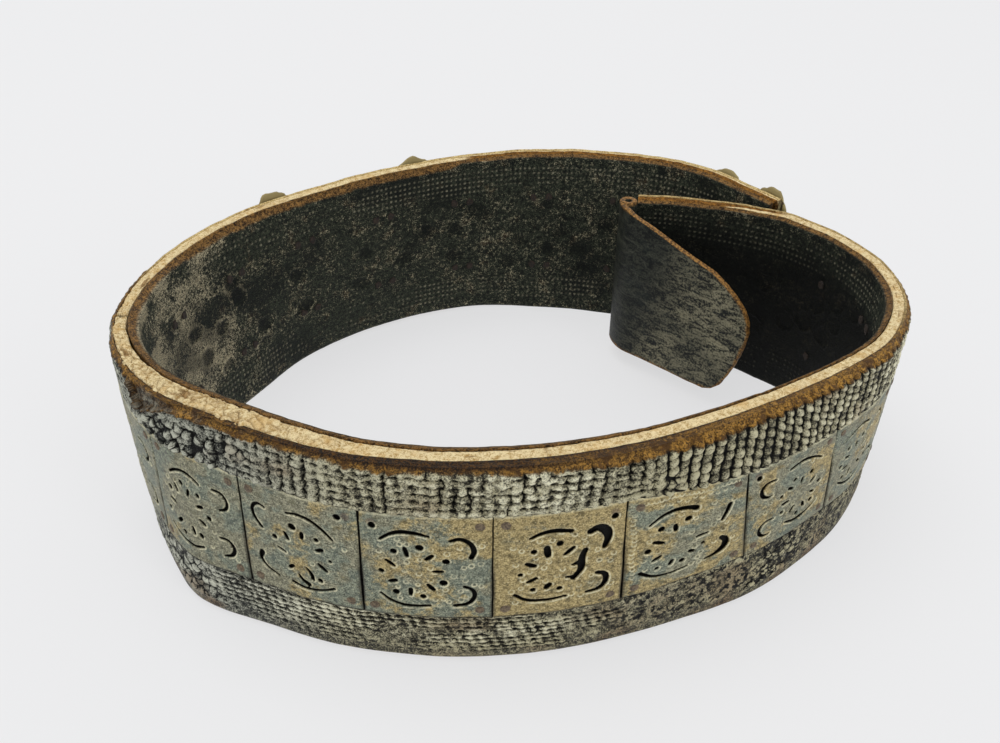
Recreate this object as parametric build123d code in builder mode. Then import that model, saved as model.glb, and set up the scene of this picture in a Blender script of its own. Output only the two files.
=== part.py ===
from build123d import *
from math import cos, degrees, radians, sin
import os

os.makedirs("parts", exist_ok=True)

# ---------------------------------------------------------------- driving sizes, mm
HEIGHT = 102.0              # width of the strap, which stands on its lower edge
OUTER_THICKNESS = 4.0       # embossed outer leather
CORE_THICKNESS = 5.0        # pale core
LINING_THICKNESS = 3.0      # dark lining against the neck

# The outer face is one run of tangent arcs, (radius, sweep in degrees), from the free
# end behind, round the left bend, along the front and round the right bend to the tuck.
BACK_BENDS = [(600, 4), (79, 29), (168, 47), (345, 17), (159, 48), (86, 12)]
FRONT_BENDS = [(86, 46), (550, 5.5), (152, 26), (218, 27), (420, 14), (80, 42), (97, 65), (180, 24)]
START = (144.3, 84.4)       # outer face of the free end
START_HEADING = 125.5       # direction of the outer face there

HINGE_GAP = 0.3             # slit in the layers at the left bend
TUCK_RISE = 10.0            # the tucked end is cut narrower along its lower edge
TUCK_DROP = 4.0             # and along its upper edge
TUCK_LENGTH = 85.0
CUT_MARGIN = 20.0           # how far a trimming cut passes what it trims

PLATE_WIDTH = 51.7
PLATE_PITCH = 52.5
PLATE_THICKNESS = 0.9
PLATE_BOTTOM = 26.0
PLATE_TOP = 80.0
FRONT_PLATES = 10
BACK_PLATES = 8
BEND_DEPTH = 9.0            # how far a cut reaches either side of a plate's tangent plane

ROSETTE_OFFSET = (-5.2, -3.2)   # rosette's centre from the middle of its plate
PETALS = 7
PETAL_RADIUS = 8.6
PETAL_LENGTH = 4.8
SLOT_WIDTH = 1.7
DOT_RADIUS = 12.0
DOT_DIAMETER = 2.8
BOW_RADIUS = 18.0
BOW_SPAN = 60.0
CRESCENT_RADIUS = 3.8
CRESCENT_SPAN = 215.0
CRESCENT_OFFSET = 17.0
CRESCENT_LEVELS = (11.5, -15.0)

RIVET_INSET = 4.6
RIVET_HOLE = 2.2
RIVET_HEAD = 3.6
RIVET_RISE = 0.7
BURR_DIAMETER = 4.0
BURR_THICKNESS = 0.6
BURR_LIFT = 0.05            # a flat burr rests on a hollow face by its rim

STUD_DIAMETER = 19.0
STUD_RISE = 6.5
STUD_RIM = 1.2
STUD_CLEARANCE = 0.3
STUD_CENTRE = 92.0
STUD_DISTANCES = (10.5, 42.0, 237.0, 326.0)

# Puffed rows outside and thread rows inside: (first height, rows)
STITCH_RISE = 0.8
STITCH_WIDTH = 2.4
STITCH_PITCH = 3.5
STITCH_BANDS = {"upper": (82.4, 5), "lower": (9.0, 4)}
THREAD_RISE = 0.5
THREAD_WIDTH = 1.0
THREAD_PITCH = 3.2
THREAD_BANDS = {"upper": (80.0, 5), "lower": (7.0, 4)}
ROW_MARGIN = 2.0            # rows stop short of the slit and of the ends

FOLD_HOLE = 3.6             # eye left inside the folded flap
FOLD_CLEARANCE = 0.35
FLAP_THICKNESS = 3.0
FLAP_BEND = (26.0, 48.0)    # radius and sweep of the flap's curve away from its fold
FLAP_REACH = 76.0           # straight leaf past the curve, before it is trimmed
# The tongue's side view, from the fold: (along the leaf, height above the table)
TONGUE_ROOT = -30.0         # well behind the fold, where nothing is trimmed
TONGUE_FOOT = 71.0
TONGUE_CORNER = (77.0, 16.0)
TONGUE_NOSE = ((85.0, 44.0), (85.0, 62.0))
TONGUE_SHOULDER = (62.0, 84.0)
TONGUE_SHOULDER_END = 4.0


# ---------------------------------------------------------------- the collar's run
def arc_length(bends):
    return sum(radius * radians(sweep) for radius, sweep in bends)


ALL_BENDS = BACK_BENDS + FRONT_BENDS
BASE_ALIGN = (Align.CENTER, Align.CENTER, Align.MIN)
HINGE = arc_length(BACK_BENDS)
FULL_LENGTH = arc_length(ALL_BENDS)
TOTAL_THICKNESS = OUTER_THICKNESS + CORE_THICKNESS + LINING_THICKNESS


def stretch(begin, finish):
    """Point, heading and bends of the outer face between two distances along it."""
    x, y = START
    heading = START_HEADING
    walked = 0.0
    first = None
    kept = []
    for radius, sweep in ALL_BENDS:
        length = radius * radians(sweep)
        low = max(begin - walked, 0.0)
        high = min(finish - walked, length)
        centre_x = x - radius * sin(radians(heading))
        centre_y = y + radius * cos(radians(heading))
        if first is None and low <= length:
            turned = heading + degrees(low / radius)
            first_x = centre_x + radius * sin(radians(turned))
            first_y = centre_y - radius * cos(radians(turned))
            first = (Vector(first_x, first_y), turned)
        if high - low > 1e-6:
            kept.append((radius, degrees((high - low) / radius)))
        heading += sweep
        x = centre_x + radius * sin(radians(heading))
        y = centre_y - radius * cos(radians(heading))
        walked += length
    return first[0], first[1], kept


def draw_run(begin, finish, inset):
    """Draws the run at a distance inside the outer face and returns its two ends."""
    point, heading, bends = stretch(begin, finish)
    inward = Vector(-sin(radians(heading)), cos(radians(heading)))
    tangent = Vector(cos(radians(heading)), sin(radians(heading)))
    point = point + inward * inset
    near_end = point
    for radius, sweep in bends:
        arc = JernArc(start=point, tangent=tangent, radius=radius - inset, arc_size=sweep)
        point = arc @ 1
        tangent = arc % 1
    return near_end, point


def outline_band(begin, finish, inset, thickness):
    """Closed outline, seen from above, of one layer between two distances."""
    near_outer, far_outer = draw_run(begin, finish, inset)
    near_inner, far_inner = draw_run(begin, finish, inset + thickness)
    Line(near_outer, near_inner)
    Line(far_outer, far_inner)


def face_plane(distance, height=0.0, inset=0.0):
    """Plane on the outer face: x along the strap, y up, z outward."""
    point, heading, _ = stretch(distance, FULL_LENGTH)
    outward = Vector(sin(radians(heading)), -cos(radians(heading)))
    origin = point - outward * inset + Vector(0, 0, height)
    along = Vector(cos(radians(heading)), sin(radians(heading)))
    return Plane(origin=origin, x_dir=along, z_dir=outward)


def save(part, name):
    part.label = name
    export_step(part, f"parts/{name}.step")


# ---------------------------------------------------------------- leather layers
LAYERS = [
    ("outer_leather", 0.0, OUTER_THICKNESS),
    ("core_leather", OUTER_THICKNESS, CORE_THICKNESS),
    ("lining_leather", OUTER_THICKNESS + CORE_THICKNESS, LINING_THICKNESS),
]

# The fold's eye is centred on the inner face of the tucked end.
tuck_end = face_plane(FULL_LENGTH)
tuck_start = face_plane(FULL_LENGTH - TUCK_LENGTH)
FOLD_RADIUS = FOLD_HOLE / 2 + FLAP_THICKNESS
fold_plane = face_plane(FULL_LENGTH, 0.0, TOTAL_THICKNESS)
fold_centre = fold_plane.origin + fold_plane.x_dir * (FOLD_RADIUS + FOLD_CLEARANCE)


def outline_taper(level, rise):
    """Side view of the wedge cut from one edge of the tucked end."""
    end_x = tuck_end.origin.X
    Polyline(
        (end_x - CUT_MARGIN, level + rise),
        (end_x, level + rise),
        (tuck_start.origin.X, level),
        (tuck_start.origin.X, level - rise),
        (end_x - CUT_MARGIN, level - rise),
        close=True,
    )


for layer_name, inset, thickness in LAYERS:
    with BuildPart() as front_layer:
        with BuildSketch():
            with BuildLine():
                outline_band(HINGE + HINGE_GAP / 2, FULL_LENGTH, inset, thickness)
            make_face()
        extrude(amount=HEIGHT)
        for level, rise in ((0.0, TUCK_RISE), (HEIGHT, -TUCK_DROP)):
            with BuildSketch(Plane.XZ.offset(3 * CUT_MARGIN - fold_centre.Y)):
                with BuildLine():
                    outline_taper(level, rise)
                make_face()
            extrude(amount=-5 * CUT_MARGIN, mode=Mode.SUBTRACT)
    save(front_layer.part, f"{layer_name}_front")

    with BuildPart() as back_layer:
        with BuildSketch():
            with BuildLine():
                outline_band(0.0, HINGE - HINGE_GAP / 2, inset, thickness)
            make_face()
        extrude(amount=HEIGHT)
    save(back_layer.part, f"{layer_name}_back")


# ---------------------------------------------------------------- folded flap
def outline_leaf():
    """Seen from above: the curve away from the fold and the straight leaf."""
    radius, sweep = FLAP_BEND
    start = fold_centre + Vector(-FOLD_RADIUS, 0)
    inner_start = start + Vector(FLAP_THICKNESS, 0)
    down = Vector(0, -1)
    outer = JernArc(start=start, tangent=down, radius=radius, arc_size=sweep)
    inner = JernArc(start=inner_start, tangent=down, radius=radius - FLAP_THICKNESS, arc_size=sweep)
    outer_leaf = Line(outer @ 1, (outer @ 1) + (outer % 1) * FLAP_REACH)
    inner_leaf = Line(inner @ 1, (inner @ 1) + (inner % 1) * FLAP_REACH)
    Line(outer_leaf @ 1, inner_leaf @ 1)
    Line(start, inner_start)


leaf_heading = radians(FLAP_BEND[1] - 90)
leaf_plane = Plane(
    origin=fold_centre,
    x_dir=(cos(leaf_heading), sin(leaf_heading), 0),
    z_dir=(sin(leaf_heading), -cos(leaf_heading), 0),
)

with BuildPart() as flap:
    with BuildSketch(Plane.XY.offset(TUCK_RISE)):
        with BuildLine():
            outline_leaf()
        make_face()
        with Locations(fold_centre):
            Circle(FOLD_RADIUS)
            Circle(FOLD_HOLE / 2, mode=Mode.SUBTRACT)
    extrude(amount=HEIGHT - TUCK_RISE - TUCK_DROP)
    # The tongue: level lower edge, blunt end and a long falling shoulder.
    with BuildSketch(leaf_plane):
        with BuildLine():
            lower = Line((TONGUE_ROOT, TUCK_RISE), (TONGUE_FOOT, TUCK_RISE))
            corner = TangentArc(lower @ 1, TONGUE_CORNER, tangent=lower % 1)
            nose = ThreePointArc(corner @ 1, *TONGUE_NOSE)
            shoulder_end = (TONGUE_SHOULDER_END, HEIGHT - TUCK_DROP)
            shoulder = ThreePointArc(nose @ 1, TONGUE_SHOULDER, shoulder_end)
            upper = Line(shoulder @ 1, (TONGUE_ROOT, HEIGHT - TUCK_DROP))
            Line(upper @ 1, lower @ 0)
        make_face()
    extrude(amount=3 * CUT_MARGIN, both=True, mode=Mode.INTERSECT)
save(flap.part, "flap")


# ---------------------------------------------------------------- openwork plates
def plate_distances(index, side):
    """Distances of a plate's two edges; side is 1 along the front, -1 behind."""
    near = HINGE + side * ((PLATE_PITCH - PLATE_WIDTH) / 2 + index * PLATE_PITCH)
    far = near + side * PLATE_WIDTH
    return min(near, far), max(near, far)


def rivet_planes(begin, finish, inset):
    planes = []
    for distance in (begin + RIVET_INSET, finish - RIVET_INSET):
        for height in (PLATE_BOTTOM + RIVET_INSET, PLATE_TOP - RIVET_INSET):
            planes.append(face_plane(distance, height, inset))
    return planes


def build_plate(begin, finish, hand):
    """One curved sheet with its rosette, bows, crescents and rivet holes."""
    middle = face_plane((begin + finish) / 2, (PLATE_BOTTOM + PLATE_TOP) / 2)
    centre_x = hand * ROSETTE_OFFSET[0]
    centre_y = ROSETTE_OFFSET[1]
    with BuildPart() as plate:
        with BuildSketch(Plane.XY.offset(PLATE_BOTTOM)):
            with BuildLine():
                outline_band(begin, finish, -PLATE_THICKNESS, PLATE_THICKNESS)
            make_face()
        extrude(amount=PLATE_TOP - PLATE_BOTTOM)
        with BuildSketch(middle):
            with Locations((centre_x, centre_y)):
                Circle(DOT_DIAMETER / 3)
                with PolarLocations(PETAL_RADIUS, PETALS, start_angle=90):
                    SlotOverall(PETAL_LENGTH, SLOT_WIDTH)
                with PolarLocations(DOT_RADIUS, PETALS, start_angle=90 + 180 / PETALS):
                    Circle(DOT_DIAMETER / 2)
            for side in (90, -90):
                centre = Plane((centre_x, centre_y, 0))
                ends = (side - BOW_SPAN / 2, side + BOW_SPAN / 2)
                SlotArc(Edge.make_circle(BOW_RADIUS, centre, *ends), SLOT_WIDTH)
            for level in CRESCENT_LEVELS:
                centre = Plane((hand * CRESCENT_OFFSET, level, 0))
                middle_angle = 90 - hand * 90
                ends = (middle_angle - CRESCENT_SPAN / 2, middle_angle + CRESCENT_SPAN / 2)
                SlotArc(Edge.make_circle(CRESCENT_RADIUS, centre, *ends), SLOT_WIDTH)
        extrude(amount=BEND_DEPTH, both=True, mode=Mode.SUBTRACT)
        with Locations(*rivet_planes(begin, finish, 0.0)):
            Cylinder(RIVET_HOLE / 2, BEND_DEPTH, mode=Mode.SUBTRACT)
    return plate.part


SIDES = [("front", 1, FRONT_PLATES), ("back", -1, BACK_PLATES)]
LEFT_HANDED = {("front", 2), ("front", 6), ("back", 1), ("back", 4), ("back", 7)}

for side_name, side, count in SIDES:
    for index in range(count):
        hand = -1 if (side_name, index) in LEFT_HANDED else 1
        begin, finish = plate_distances(index, side)
        save(build_plate(begin, finish, hand), f"plate_{side_name}_{index + 1}")

    with BuildPart() as rivets:
        for index in range(count):
            begin, finish = plate_distances(index, side)
            with Locations(*rivet_planes(begin, finish, 0.0)):
                Cylinder(RIVET_HOLE / 2, PLATE_THICKNESS, align=BASE_ALIGN)
            with Locations(*rivet_planes(begin, finish, -PLATE_THICKNESS)):
                Cone(RIVET_HEAD / 2, RIVET_HEAD / 4, RIVET_RISE, align=BASE_ALIGN)
    save(rivets.part, f"plate_rivets_{side_name}")

    with BuildPart() as burrs:
        for index in range(count):
            begin, finish = plate_distances(index, side)
            inset = TOTAL_THICKNESS + BURR_LIFT + BURR_THICKNESS
            with Locations(*rivet_planes(begin, finish, inset)):
                Cylinder(BURR_DIAMETER / 2, BURR_THICKNESS, align=BASE_ALIGN)
    save(burrs.part, f"rivet_burrs_{side_name}")


# ---------------------------------------------------------------- domed studs
with BuildPart() as stud:
    with BuildSketch(Plane.XZ):
        with BuildLine():
            base = Line((0, 0), (STUD_DIAMETER / 2, 0))
            rim = Line(base @ 1, (STUD_DIAMETER / 2, STUD_RIM))
            dome = TangentArc((0, STUD_RISE), rim @ 1, tangent=(1, 0))
            Line(dome @ 0, base @ 0)
        make_face()
    revolve(axis=Axis.Z)

with BuildPart() as edge_studs:
    with Locations(*[face_plane(distance, STUD_CENTRE) for distance in STUD_DISTANCES]):
        add(stud.part)
save(edge_studs.part, "edge_studs")


# ---------------------------------------------------------------- stitching
def build_rows(begin, finish, inset, thickness, width, first, pitch, rows):
    """Thin raised rows that run along a face, one solid for each row."""
    with BuildPart() as band:
        for row in range(rows):
            with BuildSketch(Plane.XY.offset(first + row * pitch)):
                with BuildLine():
                    outline_band(begin, finish, inset, thickness)
                make_face()
            extrude(amount=width)
        if begin < STUD_DISTANCES[-1] and inset < 0:
            with Locations(*[face_plane(distance, STUD_CENTRE) for distance in STUD_DISTANCES]):
                Cylinder(STUD_DIAMETER / 2 + STUD_CLEARANCE, BEND_DEPTH, mode=Mode.SUBTRACT)
    return band.part


STITCH_ENDS = {
    "front": (HINGE + ROW_MARGIN, FULL_LENGTH - TUCK_LENGTH),
    "back": (ROW_MARGIN, HINGE - ROW_MARGIN),
}

for side_name, (begin, finish) in STITCH_ENDS.items():
    for level_name, (first, rows) in STITCH_BANDS.items():
        stitches = build_rows(
            begin, finish, -STITCH_RISE, STITCH_RISE, STITCH_WIDTH, first, STITCH_PITCH, rows
        )
        save(stitches, f"outer_stitching_{level_name}_{side_name}")
    for level_name, (first, rows) in THREAD_BANDS.items():
        threads = build_rows(
            begin, finish, TOTAL_THICKNESS, THREAD_RISE, THREAD_WIDTH, first, THREAD_PITCH, rows
        )
        save(threads, f"inner_stitching_{level_name}_{side_name}")
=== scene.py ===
import math

import bpy
import numpy as np
from mathutils import Matrix, Vector


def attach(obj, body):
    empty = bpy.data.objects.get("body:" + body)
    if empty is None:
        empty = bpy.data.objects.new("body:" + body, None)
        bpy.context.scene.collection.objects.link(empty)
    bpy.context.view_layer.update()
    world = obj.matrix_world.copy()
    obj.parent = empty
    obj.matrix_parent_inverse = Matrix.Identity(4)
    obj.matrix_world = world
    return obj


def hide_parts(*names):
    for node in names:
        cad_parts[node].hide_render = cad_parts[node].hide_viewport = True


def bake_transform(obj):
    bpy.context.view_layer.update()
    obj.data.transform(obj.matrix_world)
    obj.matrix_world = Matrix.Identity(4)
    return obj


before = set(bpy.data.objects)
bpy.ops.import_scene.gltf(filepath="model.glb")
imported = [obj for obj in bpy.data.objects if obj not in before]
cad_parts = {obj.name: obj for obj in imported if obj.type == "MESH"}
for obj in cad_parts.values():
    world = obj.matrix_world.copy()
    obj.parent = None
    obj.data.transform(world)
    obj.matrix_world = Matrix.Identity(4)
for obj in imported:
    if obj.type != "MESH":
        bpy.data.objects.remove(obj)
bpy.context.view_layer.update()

# ------------------------------------------------------------------ driving sizes, mm
MM = 0.001
HEIGHT = 102.0
FINE = 0.42      # grid of the finely worked leather
BACK_BENDS = [(600, 4), (79, 29), (168, 47), (345, 17), (159, 48), (86, 12)]
FRONT_BENDS = [(86, 46), (550, 5.5), (152, 26), (218, 27), (420, 14), (80, 42), (97, 65), (180, 24)]
BENDS = BACK_BENDS + FRONT_BENDS
START = (144.3, 84.4)                   # outer face of the free end
START_HEADING = math.radians(125.5)
HINGE = sum(radius * math.radians(sweep) for radius, sweep in BACK_BENDS)
LENGTH = sum(radius * math.radians(sweep) for radius, sweep in BENDS)
FLEX = 16.0                             # leather on each side of the left bend that goes into a piece of its own

PLATE_WIDTH = 51.7
PLATE_PITCH = 52.5
PLATE_BOTTOM = 26.0
PLATE_TOP = 80.0
PLATE_LIFT = 0.9                        # outer face of a plate above the leather
PLATE_BACK = 0.3                        # a plate's back, below the leather's outer face
RIVET_INSET = 4.6
RIVET_U = 21.2                          # a rivet's stain, from its plate's middle
RIVET_V = 22.4
STUD_HEIGHT = 94.0
STUD_PLACES = (9.0, 42.0, 237.0, 326.0)
TUCK_LENGTH = 85.0
TUCK_RISE = 10.0
TUCK_DROP = 4.0
PLATES_FRONT = 10
PLATES_BACK = 8


# ------------------------------------------------------------------ noise and masks
def hashed(ix, iy, seed):
    """Repeatable values from 0 to 1 on a lattice of whole numbers."""
    n = ix.astype(np.int64) * 374761393 + iy.astype(np.int64) * 668265263 + seed * 974711
    n = (n ^ (n >> 13)) * 1274126177 & 0x7FFFFFFF
    n = (n ^ (n >> 16)) * 668265263 & 0x7FFFFFFF
    return (n % 100003) / 100003.0


def noise(x, y, seed):
    x, y = np.broadcast_arrays(np.asarray(x, float), np.asarray(y, float))
    ix, iy = np.floor(x), np.floor(y)
    fx, fy = x - ix, y - iy
    fx, fy = fx * fx * (3 - 2 * fx), fy * fy * (3 - 2 * fy)
    low = hashed(ix, iy, seed) * (1 - fx) + hashed(ix + 1, iy, seed) * fx
    high = hashed(ix, iy + 1, seed) * (1 - fx) + hashed(ix + 1, iy + 1, seed) * fx
    return low * (1 - fy) + high * fy


def fbm(x, y, seed, octaves=4):
    """Layered noise from -1 to 1."""
    total, weight, scale = 0.0, 0.0, 1.0
    for octave in range(octaves):
        total = total + scale * (2 * noise(x * 2**octave, y * 2**octave, seed + 17 * octave) - 1)
        weight += scale
        scale *= 0.55
    return total / weight


def cells(x, y, seed, jitter):
    """Distance to the nearest and second nearest point of a jittered grid, and its random."""
    x, y = np.broadcast_arrays(np.asarray(x, float), np.asarray(y, float))
    ix, iy = np.floor(x), np.floor(y)
    first = np.full(x.shape, 9.0)
    second = np.full(x.shape, 9.0)
    tint = np.zeros(x.shape)
    for dx in (-1, 0, 1):
        for dy in (-1, 0, 1):
            gx, gy = ix + dx, iy + dy
            px = gx + 0.5 + jitter * (hashed(gx, gy, seed) - 0.5)
            py = gy + 0.5 + jitter * (hashed(gx, gy, seed + 1) - 0.5)
            d = np.hypot(x - px, y - py)
            nearer = d < first
            second = np.where(nearer, first, np.minimum(second, d))
            tint = np.where(nearer, hashed(gx, gy, seed + 2), tint)
            first = np.where(nearer, d, first)
    return first, second, tint


def smooth(low, high, value):
    t = np.clip((value - low) / (high - low), 0, 1)
    return t * t * (3 - 2 * t)


def bump(value, centre, width):
    """A soft hill of height 1."""
    return np.exp(-((value - centre) / width) ** 2)


def table_at(table, value):
    return np.interp(value, list(table), list(table.values()))


def in_cell(value):
    """Place inside a cell of length 1, from -1 to 1."""
    return 2 * (value - np.floor(value)) - 1


# ------------------------------------------------------------------ the collar's run
def run_at(s):
    """Position and heading of the outer face at distances from the free end."""
    s = np.asarray(s, float)
    x, y, heading = np.zeros_like(s), np.zeros_like(s), np.zeros_like(s)
    px, py = START
    turn = START_HEADING
    walked = 0.0
    for index, (radius, sweep) in enumerate(BENDS):
        cx, cy = px - radius * math.sin(turn), py + radius * math.cos(turn)
        here = (s >= walked) | (index == 0)
        angle = turn + (s - walked) / radius
        x = np.where(here, cx + radius * np.sin(angle), x)
        y = np.where(here, cy - radius * np.cos(angle), y)
        heading = np.where(here, angle, heading)
        turn += math.radians(sweep)
        px, py = cx + radius * math.sin(turn), cy - radius * math.cos(turn)
        walked += radius * math.radians(sweep)
    return x, y, heading


# The old leather has warped: how far each edge stands outside its run, in mm.
LOWER_WARP = {0: -1, 60: -6, 110: -9, 160: -5, 200: 2.5, 240: 6, 280: 7, 300: 6.5, 320: 5, 340: 1.5,
              360: -2, 380: -2.5, 420: -1.5, 450: -1, 480: -2, 500: -2, 515: -0.5, 530: 3, 542: 8,
              552: 9, 562: 8, 580: 5, 600: 3.2, 640: 0.3, 740: 0, 760: 0.7, 780: 2.5, 800: 4, 820: 3,
              840: 1, 860: -1, 880: -5, 920: -7, 960: -4, 1000: 0}
UPPER_WARP = {0: 0.8, 200: 1, 260: 1.5, 320: 2.4, 360: 3.4, 440: 3.6, 470: 2.5, 500: 0.5, 520: 0,
              860: 0, 880: -1, 900: -2, 920: -1, 940: 0, 965: 0.5, 990: 0}


def eased(table, s, width=7.0):
    """A table's value, rounded off at its corners."""
    return sum(table_at(table, s + shift * width) for shift in (-1, -0.5, 0, 0.5, 1)) / 5


def place(s, depth, z):
    """Points in mm at a depth inside the outer face, as an array of xyz."""
    x, y, heading = run_at(s)
    share = 1 - z / HEIGHT
    out = eased(LOWER_WARP, s) * share + eased(UPPER_WARP, s) * (1 - share) - depth
    up = z + 2.2 * bump(s, 250, 75) * share
    return np.stack(np.broadcast_arrays(x + np.sin(heading) * out, y - np.cos(heading) * out, up), -1)


def spread(low, high, step):
    return np.linspace(low, high, max(2, int(round(abs(high - low) / step)) + 1))


# ------------------------------------------------------------------ meshes
def mesh_object(name, points, faces, values=None):
    """A mesh from arrays in mm. values holds named point attributes."""
    mesh = bpy.data.meshes.new(name)
    mesh.vertices.add(len(points))
    mesh.vertices.foreach_set("co", (points * MM).astype(np.float32).ravel())
    sizes = np.array([len(f) for f in faces]) if isinstance(faces, list) else np.full(len(faces), 4)
    flat = np.concatenate([np.asarray(f) for f in faces]) if isinstance(faces, list) else faces.ravel()
    mesh.loops.add(len(flat))
    mesh.loops.foreach_set("vertex_index", flat.astype(np.int32))
    mesh.polygons.add(len(sizes))
    starts = np.concatenate([[0], np.cumsum(sizes)[:-1]])
    mesh.polygons.foreach_set("loop_start", starts.astype(np.int32))
    mesh.polygons.foreach_set("use_smooth", np.full(len(sizes), True))
    mesh.update(calc_edges=True)
    for key, array in (values or {}).items():
        array = np.asarray(array, np.float32)
        kind = "FLOAT_VECTOR" if array.ndim == 2 else "FLOAT"
        attribute = mesh.attributes.new(key, kind, "POINT")
        attribute.data.foreach_set("vector" if array.ndim == 2 else "value", array.ravel())
    obj = bpy.data.objects.new(name, mesh)
    bpy.context.collection.objects.link(obj)
    return obj


def grid_quads(rows, columns, closed):
    """Quads of a grid of rows by columns; closed joins the last column to the first."""
    i = np.arange(rows - 1)[:, None]
    j = np.arange(columns if closed else columns - 1)[None, :]
    k = (j + 1) % columns
    quads = np.stack(np.broadcast_arrays(i * columns + j, (i + 1) * columns + j,
                                         (i + 1) * columns + k, i * columns + k), -1)
    return quads.reshape(-1, 4)


def loop_normals(points):
    """Point normals of rows of closed loops, from the neighbours on both sides."""
    normals = np.cross(np.gradient(points, axis=0), np.roll(points, -1, 1) - np.roll(points, 1, 1))
    return normals / np.maximum(np.linalg.norm(normals, axis=-1, keepdims=True), 1e-9)


def swept_piece(name, stations, section, step):
    """A closed strip between stations. section(s) gives depth, z and named values on a loop.

    One more row is worked out past each end, so that the shading of two pieces that meet
    there agrees.
    """
    s = np.concatenate([[stations[0] - step], stations, [stations[-1] + step]])[:, None]
    depth, z, values = section(s)
    points = place(s, depth, z)
    normals = loop_normals(points)[1:-1].reshape(-1, 3)
    rows, columns = len(s) - 2, points.shape[1]

    def inner_rows(value):
        return np.broadcast_to(value, points.shape[:2])[1:-1]

    first = np.arange(columns)
    last = (rows - 1) * columns + first[::-1]
    kept = {key: inner_rows(value).ravel() for key, value in values.items()}
    kept["run"] = np.stack([inner_rows(s), inner_rows(z), inner_rows(depth)], -1).reshape(-1, 3) * MM
    faces = list(grid_quads(rows, columns, True)) + [first, last]
    obj = mesh_object(name, points[1:-1].reshape(-1, 3), faces, kept)
    obj.data.normals_split_custom_set_from_vertices(normals.tolist())
    return obj


# ------------------------------------------------------------------ materials
class Material:
    """A procedural material round one principled shader, with short calls for its nodes."""

    def __init__(self, name):
        self.block = bpy.data.materials.new(name)
        self.block.use_nodes = True
        self.tree = self.block.node_tree
        self.tree.nodes.clear()
        output = self.add("ShaderNodeOutputMaterial")
        self.shader = self.add("ShaderNodeBsdfPrincipled")
        self.link(self.shader.outputs[0], output.inputs["Surface"])

    def add(self, kind, **settings):
        node = self.tree.nodes.new(kind)
        for key, value in settings.items():
            setattr(node, key, value)
        return node

    def link(self, source, target):
        if isinstance(source, (int, float)):
            target.default_value = source
        elif isinstance(source, tuple):
            target.default_value = source if len(source) == 4 else (*source, 1.0)
        else:
            self.tree.links.new(source, target)

    def finish(self, colour, roughness, height, strength, distance, **uniform):
        """Wires up the shader: colour, roughness, bump and the values that are uniform."""
        self.link(colour, self.shader.inputs["Base Color"])
        self.link(roughness, self.shader.inputs["Roughness"])
        for key, value in uniform.items():
            self.shader.inputs[key.replace("_", " ")].default_value = value
        node = self.add("ShaderNodeBump")
        node.inputs["Strength"].default_value = strength
        node.inputs["Distance"].default_value = distance
        self.link(height, node.inputs["Height"])
        self.link(node.outputs[0], self.shader.inputs["Normal"])
        return self.block

    def value(self, name):
        return self.add("ShaderNodeAttribute", attribute_name=name).outputs["Fac"]

    def place(self, name):
        return self.add("ShaderNodeAttribute", attribute_name=name).outputs["Vector"]

    def mapped(self, vector, scale, turn=0.0):
        node = self.add("ShaderNodeMapping")
        node.inputs["Scale"].default_value = scale
        node.inputs["Rotation"].default_value = (0, 0, turn)
        self.link(vector, node.inputs["Vector"])
        return node.outputs[0]

    def noise(self, vector, scale, detail=4.0, rough=0.6, distort=0.0):
        node = self.add("ShaderNodeTexNoise")
        for value, key in ((vector, "Vector"), (scale, "Scale"), (detail, "Detail"), (rough, "Roughness"),
                           (distort, "Distortion")):
            self.link(value, node.inputs[key])
        return node.outputs["Fac"]

    def math(self, operation, a, b):
        node = self.add("ShaderNodeMath", operation=operation)
        self.link(a, node.inputs[0])
        self.link(b, node.inputs[1])
        return node.outputs[0]

    def times(self, a, b):
        return self.math("MULTIPLY", a, b)

    def plus(self, a, b):
        return self.math("ADD", a, b)

    def minus(self, a, b):
        return self.math("SUBTRACT", a, b)

    def span(self, value, low, high, to_low=0.0, to_high=1.0):
        node = self.add("ShaderNodeMapRange", interpolation_type="SMOOTHSTEP")
        for source, key in ((value, "Value"), (low, "From Min"), (high, "From Max"),
                            (to_low, "To Min"), (to_high, "To Max")):
            self.link(source, node.inputs[key])
        return node.outputs[0]

    def ramp(self, value, low, high, a, b):
        """Colour a below low, colour b above high."""
        return self.mix(self.span(value, low, high), a, b)

    def pick(self, name, a, b):
        return self.mix(self.value(name), a, b)

    def mix(self, factor, a, b):
        node = self.add("ShaderNodeMix", data_type="RGBA")
        for source, index in ((factor, 0), (a, 6), (b, 7)):
            self.link(source, node.inputs[index])
        return node.outputs[2]


def srgb(red, green, blue):
    """A colour as the eye names it, from 0 to 255, made linear."""
    def linear(value):
        value /= 255
        return value / 12.92 if value <= 0.04045 else ((value + 0.055) / 1.055) ** 2.4
    return (linear(red), linear(green), linear(blue))


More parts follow.
